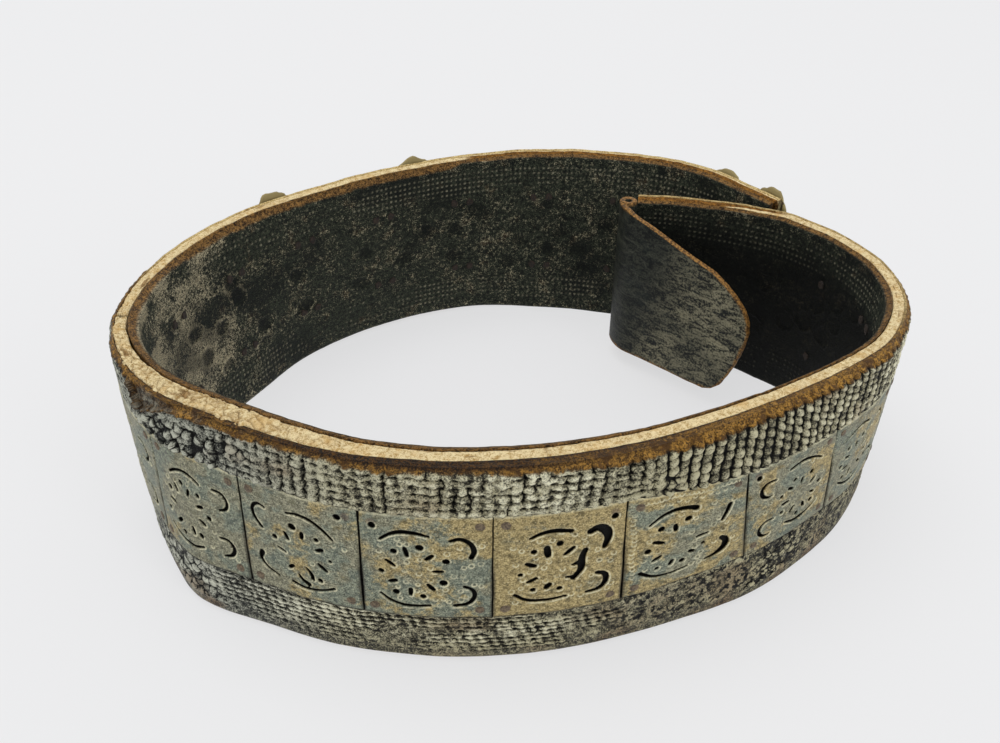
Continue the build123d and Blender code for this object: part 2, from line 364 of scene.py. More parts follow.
def outer_leather_material():
    n = Material("embossed_leather")
    where = n.place("run")
    broad = n.noise(where, 34, 4, 0.6)
    fine = n.noise(where, 480, 5, 0.7, 0.6)
    grit = n.noise(where, 1500, 3, 0.7)
    speck = n.noise(where, 2600, 2, 0.6)
    mixed = n.plus(n.times(fine, 0.40), n.times(grit, 0.40))
    mixed = n.plus(mixed, n.times(speck, 0.20))
    # Painted highlight on the crests and painted shade on the flanks, from the relief's height
    mixed = n.plus(mixed, n.times(n.minus(n.value("rise"), 0.55), 0.16))
    mixed = n.plus(mixed, n.times(n.minus(broad, 0.5), 0.20))
    # Worn colour: lighter where the leather is rubbed, partly real wear and partly a painted highlight on the
    # crests
    light = n.mix(n.value("worn"), n.pick("cool", srgb(194, 187, 152), srgb(192, 193, 176)),
                  n.pick("cool", srgb(246, 242, 212), srgb(222, 222, 204)))
    dark = n.pick("worn", n.pick("cool", srgb(26, 24, 18), srgb(28, 30, 28)), srgb(80, 76, 58))
    colour = n.mix(n.span(mixed, 0.43, 0.60), dark, light)
    brown = n.ramp(mixed, 0.45, 0.6, srgb(30, 20, 12), srgb(136, 106, 74))
    colour = n.mix(n.times(n.span(broad, 0.42, 0.62), n.value("tan")), colour, brown)
    # Painted shade: near black in the holes, creases, grooves and gaps and behind the plates; the dark specks
    # and the torn patch darken too
    colour = n.mix(n.span(n.value("hollow"), 0.10, 0.55), colour, srgb(8, 7, 5))
    rough = n.plus(n.times(fine, 0.45), n.times(grit, 0.55))
    amber = n.ramp(rough, 0.42, 0.58, srgb(64, 41, 13), srgb(184, 138, 62))
    amber = n.mix(n.span(n.noise(where, 110, 6, 0.75), 0.47, 0.60), amber, srgb(88, 60, 26))
    brunet = n.ramp(rough, 0.44, 0.62, srgb(20, 12, 5), srgb(98, 66, 28))
    amber = n.mix(n.value("dim"), amber, brunet)
    amber = n.pick("pale", amber, n.ramp(rough, 0.40, 0.58, srgb(158, 122, 60), srgb(236, 214, 154)))
    colour = n.mix(n.value("edge"), colour, amber)
    return n.finish(colour, n.span(fine, 0.3, 0.8, 0.46, 0.72), mixed, 1.0, 0.0016, Specular_IOR_Level=0.2)


def core_material():
    n = Material("pale_core")
    where = n.place("run")
    broad = n.noise(where, 70, 4, 0.7)
    fine = n.noise(where, 420, 5, 0.75, 0.4)
    grit = n.noise(where, 1600, 3, 0.7)
    mixed = n.plus(n.times(fine, 0.55), n.times(grit, 0.45))
    colour = n.ramp(mixed, 0.38, 0.56, srgb(182, 146, 86), srgb(246, 226, 178))
    colour = n.mix(n.times(n.span(broad, 0.50, 0.66), 0.5), colour, srgb(218, 174, 102))
    across = n.noise(n.mapped(where, (1.0, 0.1, 0.1)), 210, 3, 0.7)
    marks = n.times(n.span(across, 0.60, 0.68), n.value("marks"))
    colour = n.mix(n.times(marks, 0.75), colour, srgb(120, 78, 30))
    colour = n.mix(n.span(n.value("stain"), 0.2, 0.8), colour,
                   n.ramp(mixed, 0.42, 0.58, srgb(70, 44, 16), srgb(156, 108, 44)))
    # Painted shade: darker in the low pits of the crumbling top
    colour = n.mix(n.times(n.value("hollow"), 0.65), colour, srgb(150, 110, 56))
    colour = n.mix(n.value("crack"), colour, srgb(40, 26, 12))
    return n.finish(colour, 0.9, mixed, 1.0, 0.0014, Specular_IOR_Level=0.15)


def lining_material():
    n = Material("dark_lining")
    where = n.place("run")
    broad = n.noise(where, 26, 5, 0.65)
    blotch = n.noise(where, 75, 6, 0.75)
    fine = n.noise(where, 460, 5, 0.75, 0.5)
    grit = n.noise(where, 1400, 3, 0.7)
    mixed = n.plus(n.times(fine, 0.5), n.times(grit, 0.5))
    colour = n.ramp(mixed, 0.42, 0.60, srgb(7, 11, 9), srgb(62, 67, 54))
    colour = n.mix(n.times(n.span(blotch, 0.55, 0.70), 0.55), colour,
                   n.ramp(fine, 0.4, 0.6, srgb(44, 30, 18), srgb(98, 78, 54)))
    dust = n.plus(mixed, n.times(n.minus(blotch, 0.5), 0.35))
    dust = n.span(n.plus(dust, n.times(n.value("dust"), 0.13)), 0.56, 0.68)
    colour = n.mix(dust, colour, n.ramp(grit, 0.4, 0.62, srgb(112, 104, 84), srgb(182, 172, 142)))
    colour = n.mix(n.times(n.span(broad, 0.50, 0.60), 0.6), colour, srgb(10, 15, 14))
    colour = n.mix(n.span(n.value("hollow"), 0.1, 0.9), colour, srgb(5, 9, 8))
    colour = n.mix(n.value("shade"), colour, srgb(4, 5, 4))
    stitch = n.times(n.value("stitch"), n.span(mixed, 0.38, 0.54))
    colour = n.mix(stitch, colour, n.pick("shade", srgb(166, 160, 136), srgb(62, 62, 52)))
    amber = n.ramp(mixed, 0.42, 0.60, srgb(44, 29, 14), srgb(150, 112, 62))
    colour = n.mix(n.value("edge"), colour, amber)
    return n.finish(colour, n.span(fine, 0.3, 0.8, 0.40, 0.66), mixed, 0.9, 0.0012, Specular_IOR_Level=0.12)


# ------------------------------------------------------------------ leather layers
LAYER_STATIONS = [0, 200, 400, 450, HINGE, 505, 540, 600, 650, 735, 800, 860, 900, 960, 1040, LENGTH]
LAYER_DEPTHS = [
    [4, 4, 3.2, 2.6, 2.3, 2.4, 2.8, 4.1, 6.2, 7, 5.4, 4.4, 3.3, 3, 3.5, 4],
    [9, 9, 8.4, 7.6, 8.2, 10, 12.2, 13.4, 12.6, 13.2, 11.4, 9.6, 8.4, 8.2, 8.8, 9],
    [12, 12.6, 13.2, 12.8, 12.8, 13.8, 16.2, 17, 16.6, 16.2, 13.6, 11.8, 11.4, 11.6, 12, 12],
]


def layer_depths(s):
    """Depths of the outer face's back, the core's back and the lining's inner face."""
    return [np.interp(s, LAYER_STATIONS, depths) for depths in LAYER_DEPTHS]


def tuck(s):
    """How far along the tucked end's taper a point is, 0 to 1."""
    return np.clip((s - (LENGTH - TUCK_LENGTH)) / TUCK_LENGTH, 0, 1)


def squeeze(s, z):
    """Narrows the tucked end between its risen lower edge and its dropped upper edge."""
    t = tuck(s)
    low, high = TUCK_RISE * t, HEIGHT - TUCK_DROP * t
    return low + z / HEIGHT * (high - low)


def upper_edge(s):
    """Unevenness of the upper cut edge, mm."""
    return 0.5 * fbm(s / 60, 0 * s, 3, 3) + 0.35 * fbm(s / 9, 0 * s, 5, 3) - 0.3


def puffs(s, z, seed):
    """Height of the worked band along the upper edge, and the mask of its hollows that are painted dark as
    painted shade.
    """
    wander = 0.30 * fbm(s / 30, z / 16, seed, 3)
    u = s / 5.2 + wander
    v = z / (3.3 + 1.2 * bump(s, 775, 45)) + 0.35 * fbm(s / 20, z / 24, seed + 5, 3)
    v = v + 0.5 * (hashed(np.floor(u), 0 * u, seed + 3) - 0.5)
    fu, fv = in_cell(u), in_cell(v)
    tint = hashed(np.floor(u), np.floor(v), seed + 9)
    round_v = np.sqrt(np.maximum(0, 1 - fv ** 2))
    reach = (0.55 + 0.38 * round_v) * (0.88 + 0.16 * tint)
    round_u = np.sqrt(np.maximum(0, 1 - (fu / reach) ** 2))
    bulbs = (0.60 + 0.6 * tint) * round_u * (0.25 + 0.75 * round_v)
    # Pierced leather: a slit-like hole between low puffs, and creases that join the holes.
    shift_u = in_cell(u + 0.5)
    flat_v = in_cell(z / 3.7 + 0.16 * fbm(s / 14, z / 9, seed + 6, 2))
    hole = np.exp(-((shift_u / 0.36) ** 2 + ((flat_v + 0.3 * shift_u) / 0.24) ** 2) ** 2)
    crease = np.exp(-((shift_u + 0.7 * fbm(s / 3, z / 2.4, seed + 8, 2)) / 0.12) ** 2)
    crease = crease * smooth(0.12, 0.22, fbm(s / 8, z / 12, seed + 15, 3))
    level = np.exp(-((flat_v + 0.6 * fbm(s / 2.2, z / 3, seed + 18, 2)) / 0.13) ** 2)
    level = level * smooth(0.10, 0.22, fbm(s / 7, z / 7, seed + 19, 3))
    flat = 0.66 - 0.10 * np.cos(np.pi * shift_u) - 0.06 * np.cos(np.pi * flat_v)
    hole = hole * smooth(-0.30, 0.05, fbm(s / 10, z / 6, seed + 25, 3) + 0.5 * (tint - 0.35))
    flat = flat + 0.34 * fbm(s / 1.9, z / 1.3, seed + 51, 3) - 0.85 * hole - 0.9 * crease - 0.7 * level
    # Pebbles where the pattern has broken up.
    near, second, mark = cells(s / 4.3 + wander, z / 3.9, seed + 21, 0.9)
    pebbles = (0.40 + 0.95 * mark) * np.sqrt(np.maximum(0, 1 - (near / 0.64) ** 2))
    pebbles = pebbles * (1 + 0.35 * fbm(s / 1.3, z / 1.3, seed + 23, 3))
    gap = smooth(0.22, 0.0, second - near)
    # Which kind stands where: bulbs at the right front, pebbles at the left bend.
    style = 0.6 * fbm(s / 46, z / 60, seed + 31, 2) - 0.12
    bulb_share = smooth(-0.10, 0.16, style + 0.75 * bump(s, 785, 38) + 0.45 * bump(s, 860, 40)
                        - 0.6 * bump(s, 645, 40) - 0.55 * bump(s, 715, 24))
    broken = 0.35 * fbm(s / 24, z / 14, seed + 41, 2) + 1.05 * bump(s, 545, 46) * smooth(97, 92, z)
    broken = broken + 0.75 * bump(s, 752, 9) * smooth(94, 88, z) + 0.45 * bump(s, 700, 12) * smooth(92, 97, z)
    pebble_share = smooth(0.35, 0.75, broken)
    height = flat * (1 - bulb_share) + bulbs * bulb_share
    height = height * (1 - pebble_share) + pebbles * pebble_share
    pierced = np.clip(hole + 0.75 * crease + 0.55 * level, 0, 1)
    hollow = pierced * (1 - bulb_share) * (1 - pebble_share)
    groove = smooth(0.60, 0.15, round_u) + 0.7 * smooth(0.45, 0.05, round_v)
    hollow = hollow + bulb_share * (1 - pebble_share) * np.clip(groove, 0, 1)
    hollow = hollow + pebble_share * (0.9 * gap + 0.6 * smooth(0.35, 0.0, pebbles))
    return height, np.clip(hollow, 0, 1)


def pricks(s, z, seed):
    """The same for the lower band: rows of slanted pricks, broken into pebbles at the left."""
    u = s / 4.4 + 0.22 * z / 2.3 + 0.25 * fbm(s / 18, z / 14, seed, 3)
    v = z / 2.35 + 0.30 * fbm(s / 16, z / 12, seed + 3, 3)
    fu, fv = in_cell(u), in_cell(v)
    tint = hashed(np.floor(u), np.floor(v), seed + 9)
    kept = fbm(s / 22, z / 9, seed + 7, 3) + 0.3 * (tint - 0.3) - 0.75 * smooth(690, 750, s)
    present = smooth(-0.45, 0.0, kept)
    hole = np.exp(-((fu / 0.42) ** 2 + ((fv + 0.5 * fu) / 0.40) ** 2) ** 1.4) * present
    ridge = 0.30 * np.cos(np.pi * (fv + 1)) + 0.16 * np.cos(np.pi * (fu + 1))
    height = 0.55 + ridge * present - 0.65 * hole + 0.50 * fbm(s / 4, z / 2.6, seed + 11, 5)
    near, second, mark = cells(s / 4.2, z / 3.4, seed + 21, 0.9)
    lumps = (0.4 + 0.8 * mark) * np.sqrt(np.maximum(0, 1 - (near / 0.7) ** 2))
    lump_share = smooth(0.3, 0.7, 0.9 * bump(s, 530, 34) + 0.8 * bump(s, 812, 18)
                        + 0.4 * fbm(s / 20, z / 10, seed + 31, 2))
    height = height * (1 - lump_share) + lumps * lump_share
    crack = smooth(0.05, 0.0, np.abs(fbm(s / 9, z / 6, seed + 41, 3)))
    crack = crack * smooth(0.0, 0.4, fbm(s / 26, z / 16, seed + 43, 2))
    hollow = hole * (1 - lump_share) + lump_share * 0.9 * smooth(0.2, 0.0, second - near) + 0.8 * crack
    return height - 0.4 * crack, np.clip(hollow, 0, 1)


# Height of the torn patch's lower edge at distances from the free end, mm.
TEAR = {505: 104, 512: 101, 517: 90.5, 522: 89.6, 530: 94.5, 540: 99.2, 550: 100.8, 575: 101.2, 605: 103}


def outer_section(s):
    """Loop of the outer leather: outer face, top, inner face, bottom."""
    back, _, _ = layer_depths(s)
    face_z = np.concatenate([spread(0.0, 30.0, FINE), spread(32.0, 71.0, 2.5), spread(72.5, HEIGHT, FINE)])
    top = spread(0.08, 1.0, 0.12)[None, :]
    inner = np.array([[0.0, 0.5, 1.0]])
    bottom = spread(0.1, 0.9, 0.2)[None, :]
    z = face_z[None, :] + 0 * s
    high, hollow_high = puffs(s, z, 101)
    low, hollow_low = pricks(s, z, 202)
    count = (s - HINGE) / PLATE_PITCH
    row_top, row_foot = np.interp(count, JOINTS, UPPER_LINE), np.interp(count, JOINTS, LOWER_LINE)
    upper = smooth(row_top - 1.5, row_top + 0.3, z) * smooth(101.5, 99.5, z)
    lower = smooth(row_foot + 1.2, row_foot - 0.8, z) * smooth(4.0, 8.0, z)
    row_start, row_end = HINGE - PLATES_BACK * PLATE_PITCH, HINGE + PLATES_FRONT * PLATE_PITCH
    plated = smooth(row_start - 0.8, row_start + 0.8, s) * smooth(row_end + 0.8, row_end - 0.8, s)
    under = smooth(row_foot - 0.5, row_foot + 1.5, z) * smooth(row_top + 0.5, row_top - 1.5, z) * plated
    middle = 0.15 * fbm(s / 12, z / 12, 77, 3) - 0.9 * under
    margin = smooth(9.0, 3.0, z)
    calm = 1 - 0.85 * bump(s, 470, 34) - 0.45 * bump(s, 915, 50)
    proud = 1.7 + 0.8 * bump(s, 780, 60) + 0.5 * bump(s, 550, 40)
    rise = (proud * high * upper + 1.1 * low * lower) * calm + middle * (1 - upper) * (1 - lower)
    plain = np.maximum((1 - upper) * (1 - plated), 0.9 * smooth(10, 6, z)) * (1 - lower)
    # The relief's height: the outer material paints a highlight on its crests and shade on its flanks from
    # it, and bumps with it
    swell = np.clip(high * upper + low * lower + 0.5 * plain, 0, 1.2)
    grain = 0.30 * fbm(s / 3.0, z / 3.0, 88, 3) + 0.14 * fbm(s / 0.9, z / 0.9, 90, 2)
    rise = rise + grain * (upper + 0.8 * lower)
    # The torn patch on the left front, and the bevel along the top.
    torn_at = table_at(TEAR, s) + 0.6 * fbm(s / 6, 0 * s, 61, 4)
    tear = smooth(torn_at - 0.2, torn_at + 0.5, z) * smooth(506, 514, s) * smooth(606, 596, s)
    lip = np.exp(-((z - torn_at + 0.7) / 0.8) ** 2) * smooth(506, 514, s) * smooth(606, 590, s)
    margin_width = 2.4 + 0.9 * smooth(700, 760, s) - 0.6 * bump(s, 650, 50)
    bevel = smooth(HEIGHT - margin_width - 0.8 + 1.0 * fbm(s / 14, 0 * s, 64, 3), 102, z)
    rounding = 1.6 * smooth(3.0, 0.0, z) ** 2
    ragged = tear * (1.2 + 1.3 * fbm(s / 5, z / 3, 67, 4))
    depth = -rise * (1 - tear) + ragged - 0.7 * lip + 2.1 * bevel * (1 - tear) + rounding
    # Painted shade in the hollows and behind the plates, dark specks, puffs rubbed bare and lightened with a
    # painted highlight, and where the edge is brown.
    hollow_high = hollow_high * (0.74 + 0.26 * smooth(640, 720, s))
    # Behind the plates the leather is painted near black, as painted shade seen through the openwork
    behind = smooth(row_foot - 0.8, row_foot + 0.8, z) * smooth(row_top + 0.8, row_top - 0.8, z) * plated
    hollow = (hollow_high * upper + 0.8 * hollow_low * lower) * (1 - tear) + 0.22 * tear + 0.95 * behind
    hollow = np.clip(hollow, 0, 1)
    # Rubbed crests: lighter from real wear and from a painted highlight, stronger at a few places along the
    # band
    centre = bump(s, 702, 26) + 0.45 * bump(s, 650, 50) + 0.8 * bump(s, 880, 50) + 0.28
    patchy = smooth(-0.5, 0.5, fbm(s / 22, z / 8, 73, 4))
    high_wear_and_highlight = upper * smooth(0.45, 0.95, high) * centre * (0.45 + 0.55 * patchy)
    pits = lower * smooth(690, 750, s) * smooth(-0.05, 0.3, fbm(s / 1.5, z / 1.3, 75, 3))
    hollow = np.clip(hollow + 0.55 * pits, 0, 1)
    lower_place = 0.25 + bump(s, 600, 50) + 0.8 * bump(s, 690, 30)
    low_wear_and_highlight = lower * smooth(0.35, 0.95, low) * smooth(6, 18, z) * lower_place * (0.35 + 0.65 * patchy)
    low_wear_and_highlight = low_wear_and_highlight * (1 - 0.7 * smooth(740, 790, s))
    worn = np.clip(high_wear_and_highlight + low_wear_and_highlight, 0, 1)
    shore = HEIGHT - margin_width + 1.3 * fbm(s / 11, z / 6, 62, 4) + 0.9 * fbm(s / 2.2, z / 2.2, 63, 3)
    brown = smooth(shore - 0.35, shore + 0.35, z)
    middle_part = bump(s, 640, 95)
    dim = smooth(shore + 1.3, shore - 0.2, z) * (1 - middle_part)
    dim = np.clip(dim + middle_part * (0.35 + smooth(100.6, 101.8, z)), 0, 1)
    torn = (0.8 + 0.6 * fbm(s / 7, z / 4, 69, 3)) * tear + lip
    edge = np.clip(np.maximum(brown * (1 - tear), torn) + smooth(1.5, 0.6, z), 0, 1)
    tan = fbm(s / 26, z / 10, 66, 3) + 0.7 * smooth(690, 760, s) * smooth(30, 22, z)
    tan = np.clip(0.30 * margin + 0.55 * smooth(0.1, 0.6, tan), 0, 1)
    edge_z = HEIGHT + upper_edge(s)
    z = z + (edge_z - HEIGHT) * smooth(80, 102, z)
    crest = 0.35 * fbm(s / 5, 8 * top, 91, 3)
    top_depth = depth[:, -1:] + (back - depth[:, -1:]) * top
    top_z = edge_z + crest * np.sin(np.pi * top)
    inner_depth = back + 0 * inner
    inner_z = edge_z * (1 - inner)
    bottom_depth = back + (depth[:, :1] - back) * bottom
    bottom_z = 0 * bottom_depth
    all_depth = np.concatenate([depth, top_depth, inner_depth, bottom_depth], 1)
    all_z = squeeze(s, np.concatenate([z, top_z, inner_z, bottom_z], 1))
    top_share = np.concatenate([top, 0 * inner, 0 * bottom], 1)
    rest_shape = (len(s), top_share.shape[1])
    rest_dim = np.clip(0.2 + 0.9 * middle_part + 0.8 * smooth(0.7, 1.0, top_share), 0, 1)
    rest_pale = np.clip(smooth(440, 400, s) + 0.7 * smooth(880, 930, s), 0, 1)
    # Each value on the face, then on the top, the back and the bottom.
    parts = {"hollow": (hollow * (0.3 + 0.7 * calm), 0), "worn": (worn, 0), "rise": (swell, 0.5),
             "edge": (edge, 1), "tan": (tan, 0), "dim": (dim, rest_dim),
             "cool": (smooth(640, 560, s), 0), "pale": (0, rest_pale)}
    values = {key: np.concatenate([np.broadcast_to(face, z.shape), np.broadcast_to(rest, rest_shape)], 1)
              for key, (face, rest) in parts.items()}
    return all_depth, all_z, values


def core_section(s):
    """Loop of the pale core: a thin outer flank, a rough crumbling top and an inner flank."""
    front, back, _ = layer_depths(s)
    flank = np.array([[0.0, 0.5, 0.9, 0.96]])
    top = spread(0.0, 1.0, 0.045)[None, :]
    rough = 0.40 + 1.6 * bump(s, 560, 50) + 0.7 * bump(s, 480, 40)
    near, second, mark = cells(s / 4.2 + 0.4 * fbm(s / 9, 3 * top, 307, 2), 2.2 * top, 303, 0.95)
    lumps = 0.9 * (mark - 0.5) - 0.9 * smooth(0.16, 0.0, second - near)
    crumble = rough * (lumps + 0.5 * fbm(s / 1.4, 11 * top, 305, 3))
    shoulder = np.sqrt(np.maximum(0, 1 - (2 * top - 1) ** 4))
    proud = 0.5 + 0.9 * bump(s, 560, 50)
    edge_z = HEIGHT + upper_edge(s)
    crack = np.exp(-((s - 462 - 1.5 * fbm(5 * top, 0 * s, 311, 2)) / 0.8) ** 2)
    spill = 0.9 * rough * fbm(s / 4.5, 0 * s, 315, 3)
    back = back - 0.7 * bump(s, 492, 36) * smooth(-0.4, 0.1, fbm(s / 12, 0 * s, 317, 2))
    top_z = edge_z - 0.6 + proud * shoulder + 0.45 * crumble - 2.2 * crack
    outer_lip = front - 0.3 - spill
    top_depth = outer_lip + (back - 0.2 - outer_lip) * top
    left_depth = front + 0 * flank - 0.02
    left_z = (edge_z - 1.2) * flank
    right_depth = back + 0 * flank
    right_z = (edge_z - 1.0) * flank[:, ::-1]
    all_depth = np.concatenate([left_depth, top_depth, right_depth], 1)
    all_z = squeeze(s, np.concatenate([left_z, top_z, right_z], 1))
    # Low pits of the crumb, painted darker as painted shade
    hollow_top = smooth(-0.2, -1.4, crumble)
    stain_free = smooth(215, 195, s) * smooth(0.22, 0.42, top)
    stain_tucked = smooth(1015, 1045, s) * smooth(0.3, 0.5, 1 - top + 0.6 * smooth(1045, 1080, s))
    stain = np.clip(stain_free + stain_tucked, 0, 1) + 0.6 * smooth(0.25, 0.6, fbm(s / 16, 3 * top, 321, 3))
    ends = np.ones((len(s), flank.size))
    # Each value on the flanks, then on the top.
    parts = {"hollow": (0, hollow_top), "stain": (1, np.clip(stain, 0, 1)),
             "marks": (0, bump(s, 690, 42) + 0.25 + 0 * top), "crack": (0, crack)}
    values = {key: np.concatenate([side * ends, middle, side * ends], 1)
              for key, (side, middle) in parts.items()}
    return all_depth, all_z, values


def lining_section(s):
    """Loop of the lining: hidden back, a worn cut edge on top, the inner face and bottom."""
    _, front, back = layer_depths(s)
    hidden = np.array([[0.0, 0.5, 1.0]])
    top = spread(0.1, 0.9, 0.1)[None, :]
    face_z = spread(HEIGHT, 0.0, 0.55)
    bottom = np.array([[0.25, 0.75]])
    z = face_z[None, :] + 0 * s
    # Stitch rows: small raised dots, five rows above and five below.
    u = s / 3.05
    v = z / 3.2 + 0.06 * fbm(s / 20, z / 20, 401, 2)
    tint = hashed(np.floor(u), np.floor(v), 405)
    dots = np.exp(-((in_cell(u) / 0.42) ** 2 + (in_cell(v) / 0.36) ** 2) ** 1.6)
    rows = np.maximum(smooth(78, 80, z) * smooth(97, 95, z), smooth(5, 7, z) * smooth(23, 21, z))
    there = smooth(-0.35, 0.15, fbm(s / 26, z / 16, 411, 3) + 0.5 * (tint - 0.4))
    dots = dots * rows * there
    # Round stains where the rivets are clenched.
    near, _, mark = cells(s / 21, z / 17, 421, 0.9)
    near = near + 0.13 * fbm(s / 5, z / 5, 423, 4)
    ring = bump(near, 0.34, 0.05) * (mark > 0.35)
    dent = smooth(0.36, 0.16, near) * (mark > 0.35)
    zone = smooth(24, 30, z) * smooth(78, 72, z)
    wave = 0.45 * fbm(s / 30, z / 30, 431, 3)
    depth = back + 0.42 * dots + 0.25 * ring * zone - 0.4 * dent * zone + wave * 0.6
    depth = depth + 0.12 * fbm(s / 3, z / 3, 435, 3)
    bevel_drop = 1.2 + 4.2 * smooth(208, 222, s) * smooth(420, 390, s)
    bevel = smooth(HEIGHT - bevel_drop, HEIGHT, z)
    thick = back - front
    depth = depth - 0.72 * thick * bevel ** 1.3 - 0.5 * smooth(1.6, 0, z)
    edge_z = HEIGHT + upper_edge(s) - 0.2
    dust = 0.10 + 1.25 * smooth(330, 430, s) * smooth(560, 510, s) + 0.45 * rows * smooth(480, 300, s)
    dust = dust * smooth(1.25, 0.2, 0.55 + 0.9 * fbm(s / 24, z / 22, 441, 3)) * smooth(560, 470, s)
    dust = dust + 0.10 * smooth(470, 560, s) + 0.10
    edge = np.clip(smooth(0.15, 0.5, bevel + 0.2 * fbm(s / 4, z / 4, 445, 2)), 0, 1)
    hollow = 0.55 * dent * zone * smooth(560, 420, s)
    dust = dust + 0.9 * ring * zone * bump(s, 420, 90) - 0.5 * rows
    z = z + (edge_z - HEIGHT) * smooth(80, 102, z)
    top_depth = front + 0.15 + (depth[:, :1] - front - 0.15) * top
    top_z = edge_z + 0.25 * np.sin(np.pi * top) + 0.2 * fbm(s / 4, 4 * top, 451, 3)
    hidden_depth = front + 0.15 + 0 * hidden
    hidden_z = edge_z * hidden
    bottom_depth = depth[:, -1:] + (front + 0.15 - depth[:, -1:]) * bottom
    all_depth = np.concatenate([hidden_depth, top_depth, depth, bottom_depth], 1)
    all_z = squeeze(s, np.concatenate([hidden_z, top_z, z, 0 * bottom_depth], 1))
    before, after = (len(s), hidden.size + top.size), (len(s), bottom.size)
    shade = 0.86 * smooth(815, 905, s) * smooth(84 + 14 * smooth(940, 1000, s), 74, z)
    shade = shade + 0.35 * smooth(905, 960, s) * (1 - shade)
    # Each value before the face, on it and after it.
    parts = {"dust": (0.1, dust, 0.1), "stitch": (0, dots * (0.35 + 0.65 * tint), 0),
             "shade": (0, shade, 0), "edge": (1, edge, 0.6), "hollow": (0, hollow, 0)}
    values = {key: np.concatenate([np.full(before, start), face, np.full(after, end)], 1)
              for key, (start, face, end) in parts.items()}
    return all_depth, all_z, values


LEATHER = [
    ("outer_leather", outer_section, outer_leather_material(), "embossed_leather", FINE,
     ["outer_stitching_upper", "outer_stitching_lower"]),
    ("core_leather", core_section, core_material(), "pale_core", 0.5, []),
    ("lining_leather", lining_section, lining_material(), "dark_lining", 0.6,
     ["inner_stitching_upper", "inner_stitching_lower"]),
]


def build_leather():
    ahead = place(np.array([HINGE + FLEX]), 0.0, 50.0)[0] * MM
    behind = place(np.array([HINGE - FLEX]), 0.0, 50.0)[0] * MM
    for name, section, material, slot, step, rows in LEATHER:
        step = step * 1.0
        spans = (("back", 0.0, HINGE - FLEX), ("bend", HINGE - FLEX, HINGE + FLEX),
                 ("front", HINGE + FLEX, LENGTH))
        for part, low, high in spans:
            piece = swept_piece(f"{name}_{part}_skin", spread(low, high, step), section, step)
            piece.data.materials.append(material)
            if part == "bend":
                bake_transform(piece)
            else:
                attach(piece, f"{part}_band")
                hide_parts(f"{name}_{part}", *[f"{row}_{part}" for row in rows])


# ------------------------------------------------------------------ openwork plates
def stroke_distance(u, v, points, widths):
    """Distance outside a stroke whose width changes along it; negative inside."""
    if len(points) == 1:
        return np.hypot(u - points[0][0], v - points[0][1]) - widths[0] / 2
    for _ in range(2 if len(points) > 2 else 0):
        rounded, wider = [points[0]], [widths[0]]
        for (ax, ay), (bx, by), wa, wb in zip(points, points[1:], widths, widths[1:]):
            for share in (0.25, 0.75):
                rounded.append((ax + share * (bx - ax), ay + share * (by - ay)))
                wider.append(wa + share * (wb - wa))
        points, widths = rounded + [points[-1]], wider + [widths[-1]]
    best = np.full(u.shape, 99.0)
    for (ax, ay), (bx, by), wa, wb in zip(points, points[1:], widths, widths[1:]):
        dx, dy = bx - ax, by - ay
        t = np.clip(((u - ax) * dx + (v - ay) * dy) / (dx * dx + dy * dy), 0, 1)
        away = np.hypot(u - ax - t * dx, v - ay - t * dy) - (wa + (wb - wa) * t) / 2
        best = np.minimum(best, away)
    return best


def slot(u, v, tilt, length=4.6, width=1.7):
    """A short punched slot centred on a point."""
    reach = (length - width) / 2
    dx, dy = reach * math.cos(math.radians(tilt)), reach * math.sin(math.radians(tilt))
    return ([(u - dx, v - dy), (u, v), (u + dx, v + dy)], [0.7 * width, width, 0.8 * width])


def dot(u, v, across=2.4):
    return ([(u, v)], [across])


def curve(points, widths):
    """A long cut through points; widths are given at its start, middle and end."""
    count = len(points) - 1
    spaced = [widths[0] + (widths[1] - widths[0]) * min(1, 2 * i / count)
              + (widths[2] - widths[1]) * max(0, 2 * i / count - 1) for i in range(count + 1)]
    return (points, spaced)


def common_work(hand, seed):
    """The pattern that every plate follows by hand: rosette, two bows, two crescents."""
    rng = np.random.default_rng(seed)
    cu, cv = -5.0 * hand, -2.6
    work = []
    turn = rng.uniform(-9, 9)
    for petal in range(7):
        angle = 90 + turn + petal * 360 / 7 + rng.uniform(-5, 5)
        reach = 8.9 + rng.uniform(-0.7, 0.7)
        a = math.radians(angle)
        work.append(slot(cu + reach * math.cos(a), cv + reach * math.sin(a), angle + rng.uniform(-14, 14),
                         4.4 + rng.uniform(-0.6, 0.9), 1.7 + rng.uniform(-0.2, 0.3)))
        a = math.radians(angle + 180 / 7 + rng.uniform(-4, 4))
        reach = 12.9 + rng.uniform(-0.6, 0.6)
        if rng.random() < 0.9:
            across = 2.1 + rng.uniform(-0.3, 0.5)
            work.append(dot(cu + reach * math.cos(a), cv + reach * math.sin(a), across))
    for side in (1, -1):
        lift = rng.uniform(-0.7, 0.7)
        work.append(curve([(cu + hand * du, side * (dv + lift)) for du, dv in
                           ((-12.5, 14.5), (-8, 17.6), (-2, 19.3), (3, 19.2), (7.5, 17.4))],
                          (0.6, 1.7 + rng.uniform(-0.2, 0.4), 1.3)))
    for level in (10.5, -14.2):
        lift, wide = level + rng.uniform(-0.6, 0.6), 1.7 + rng.uniform(-0.3, 0.8)
        work.append(curve([(hand * du, lift + dv) for du, dv in
                           ((11, 4.6), (15.4, 5.0), (18.9, 1.8), (18.6, -2.6), (15.2, -5.0), (12.8, -4.4))],
                          (0.9, wide, 0.7)))
    return work


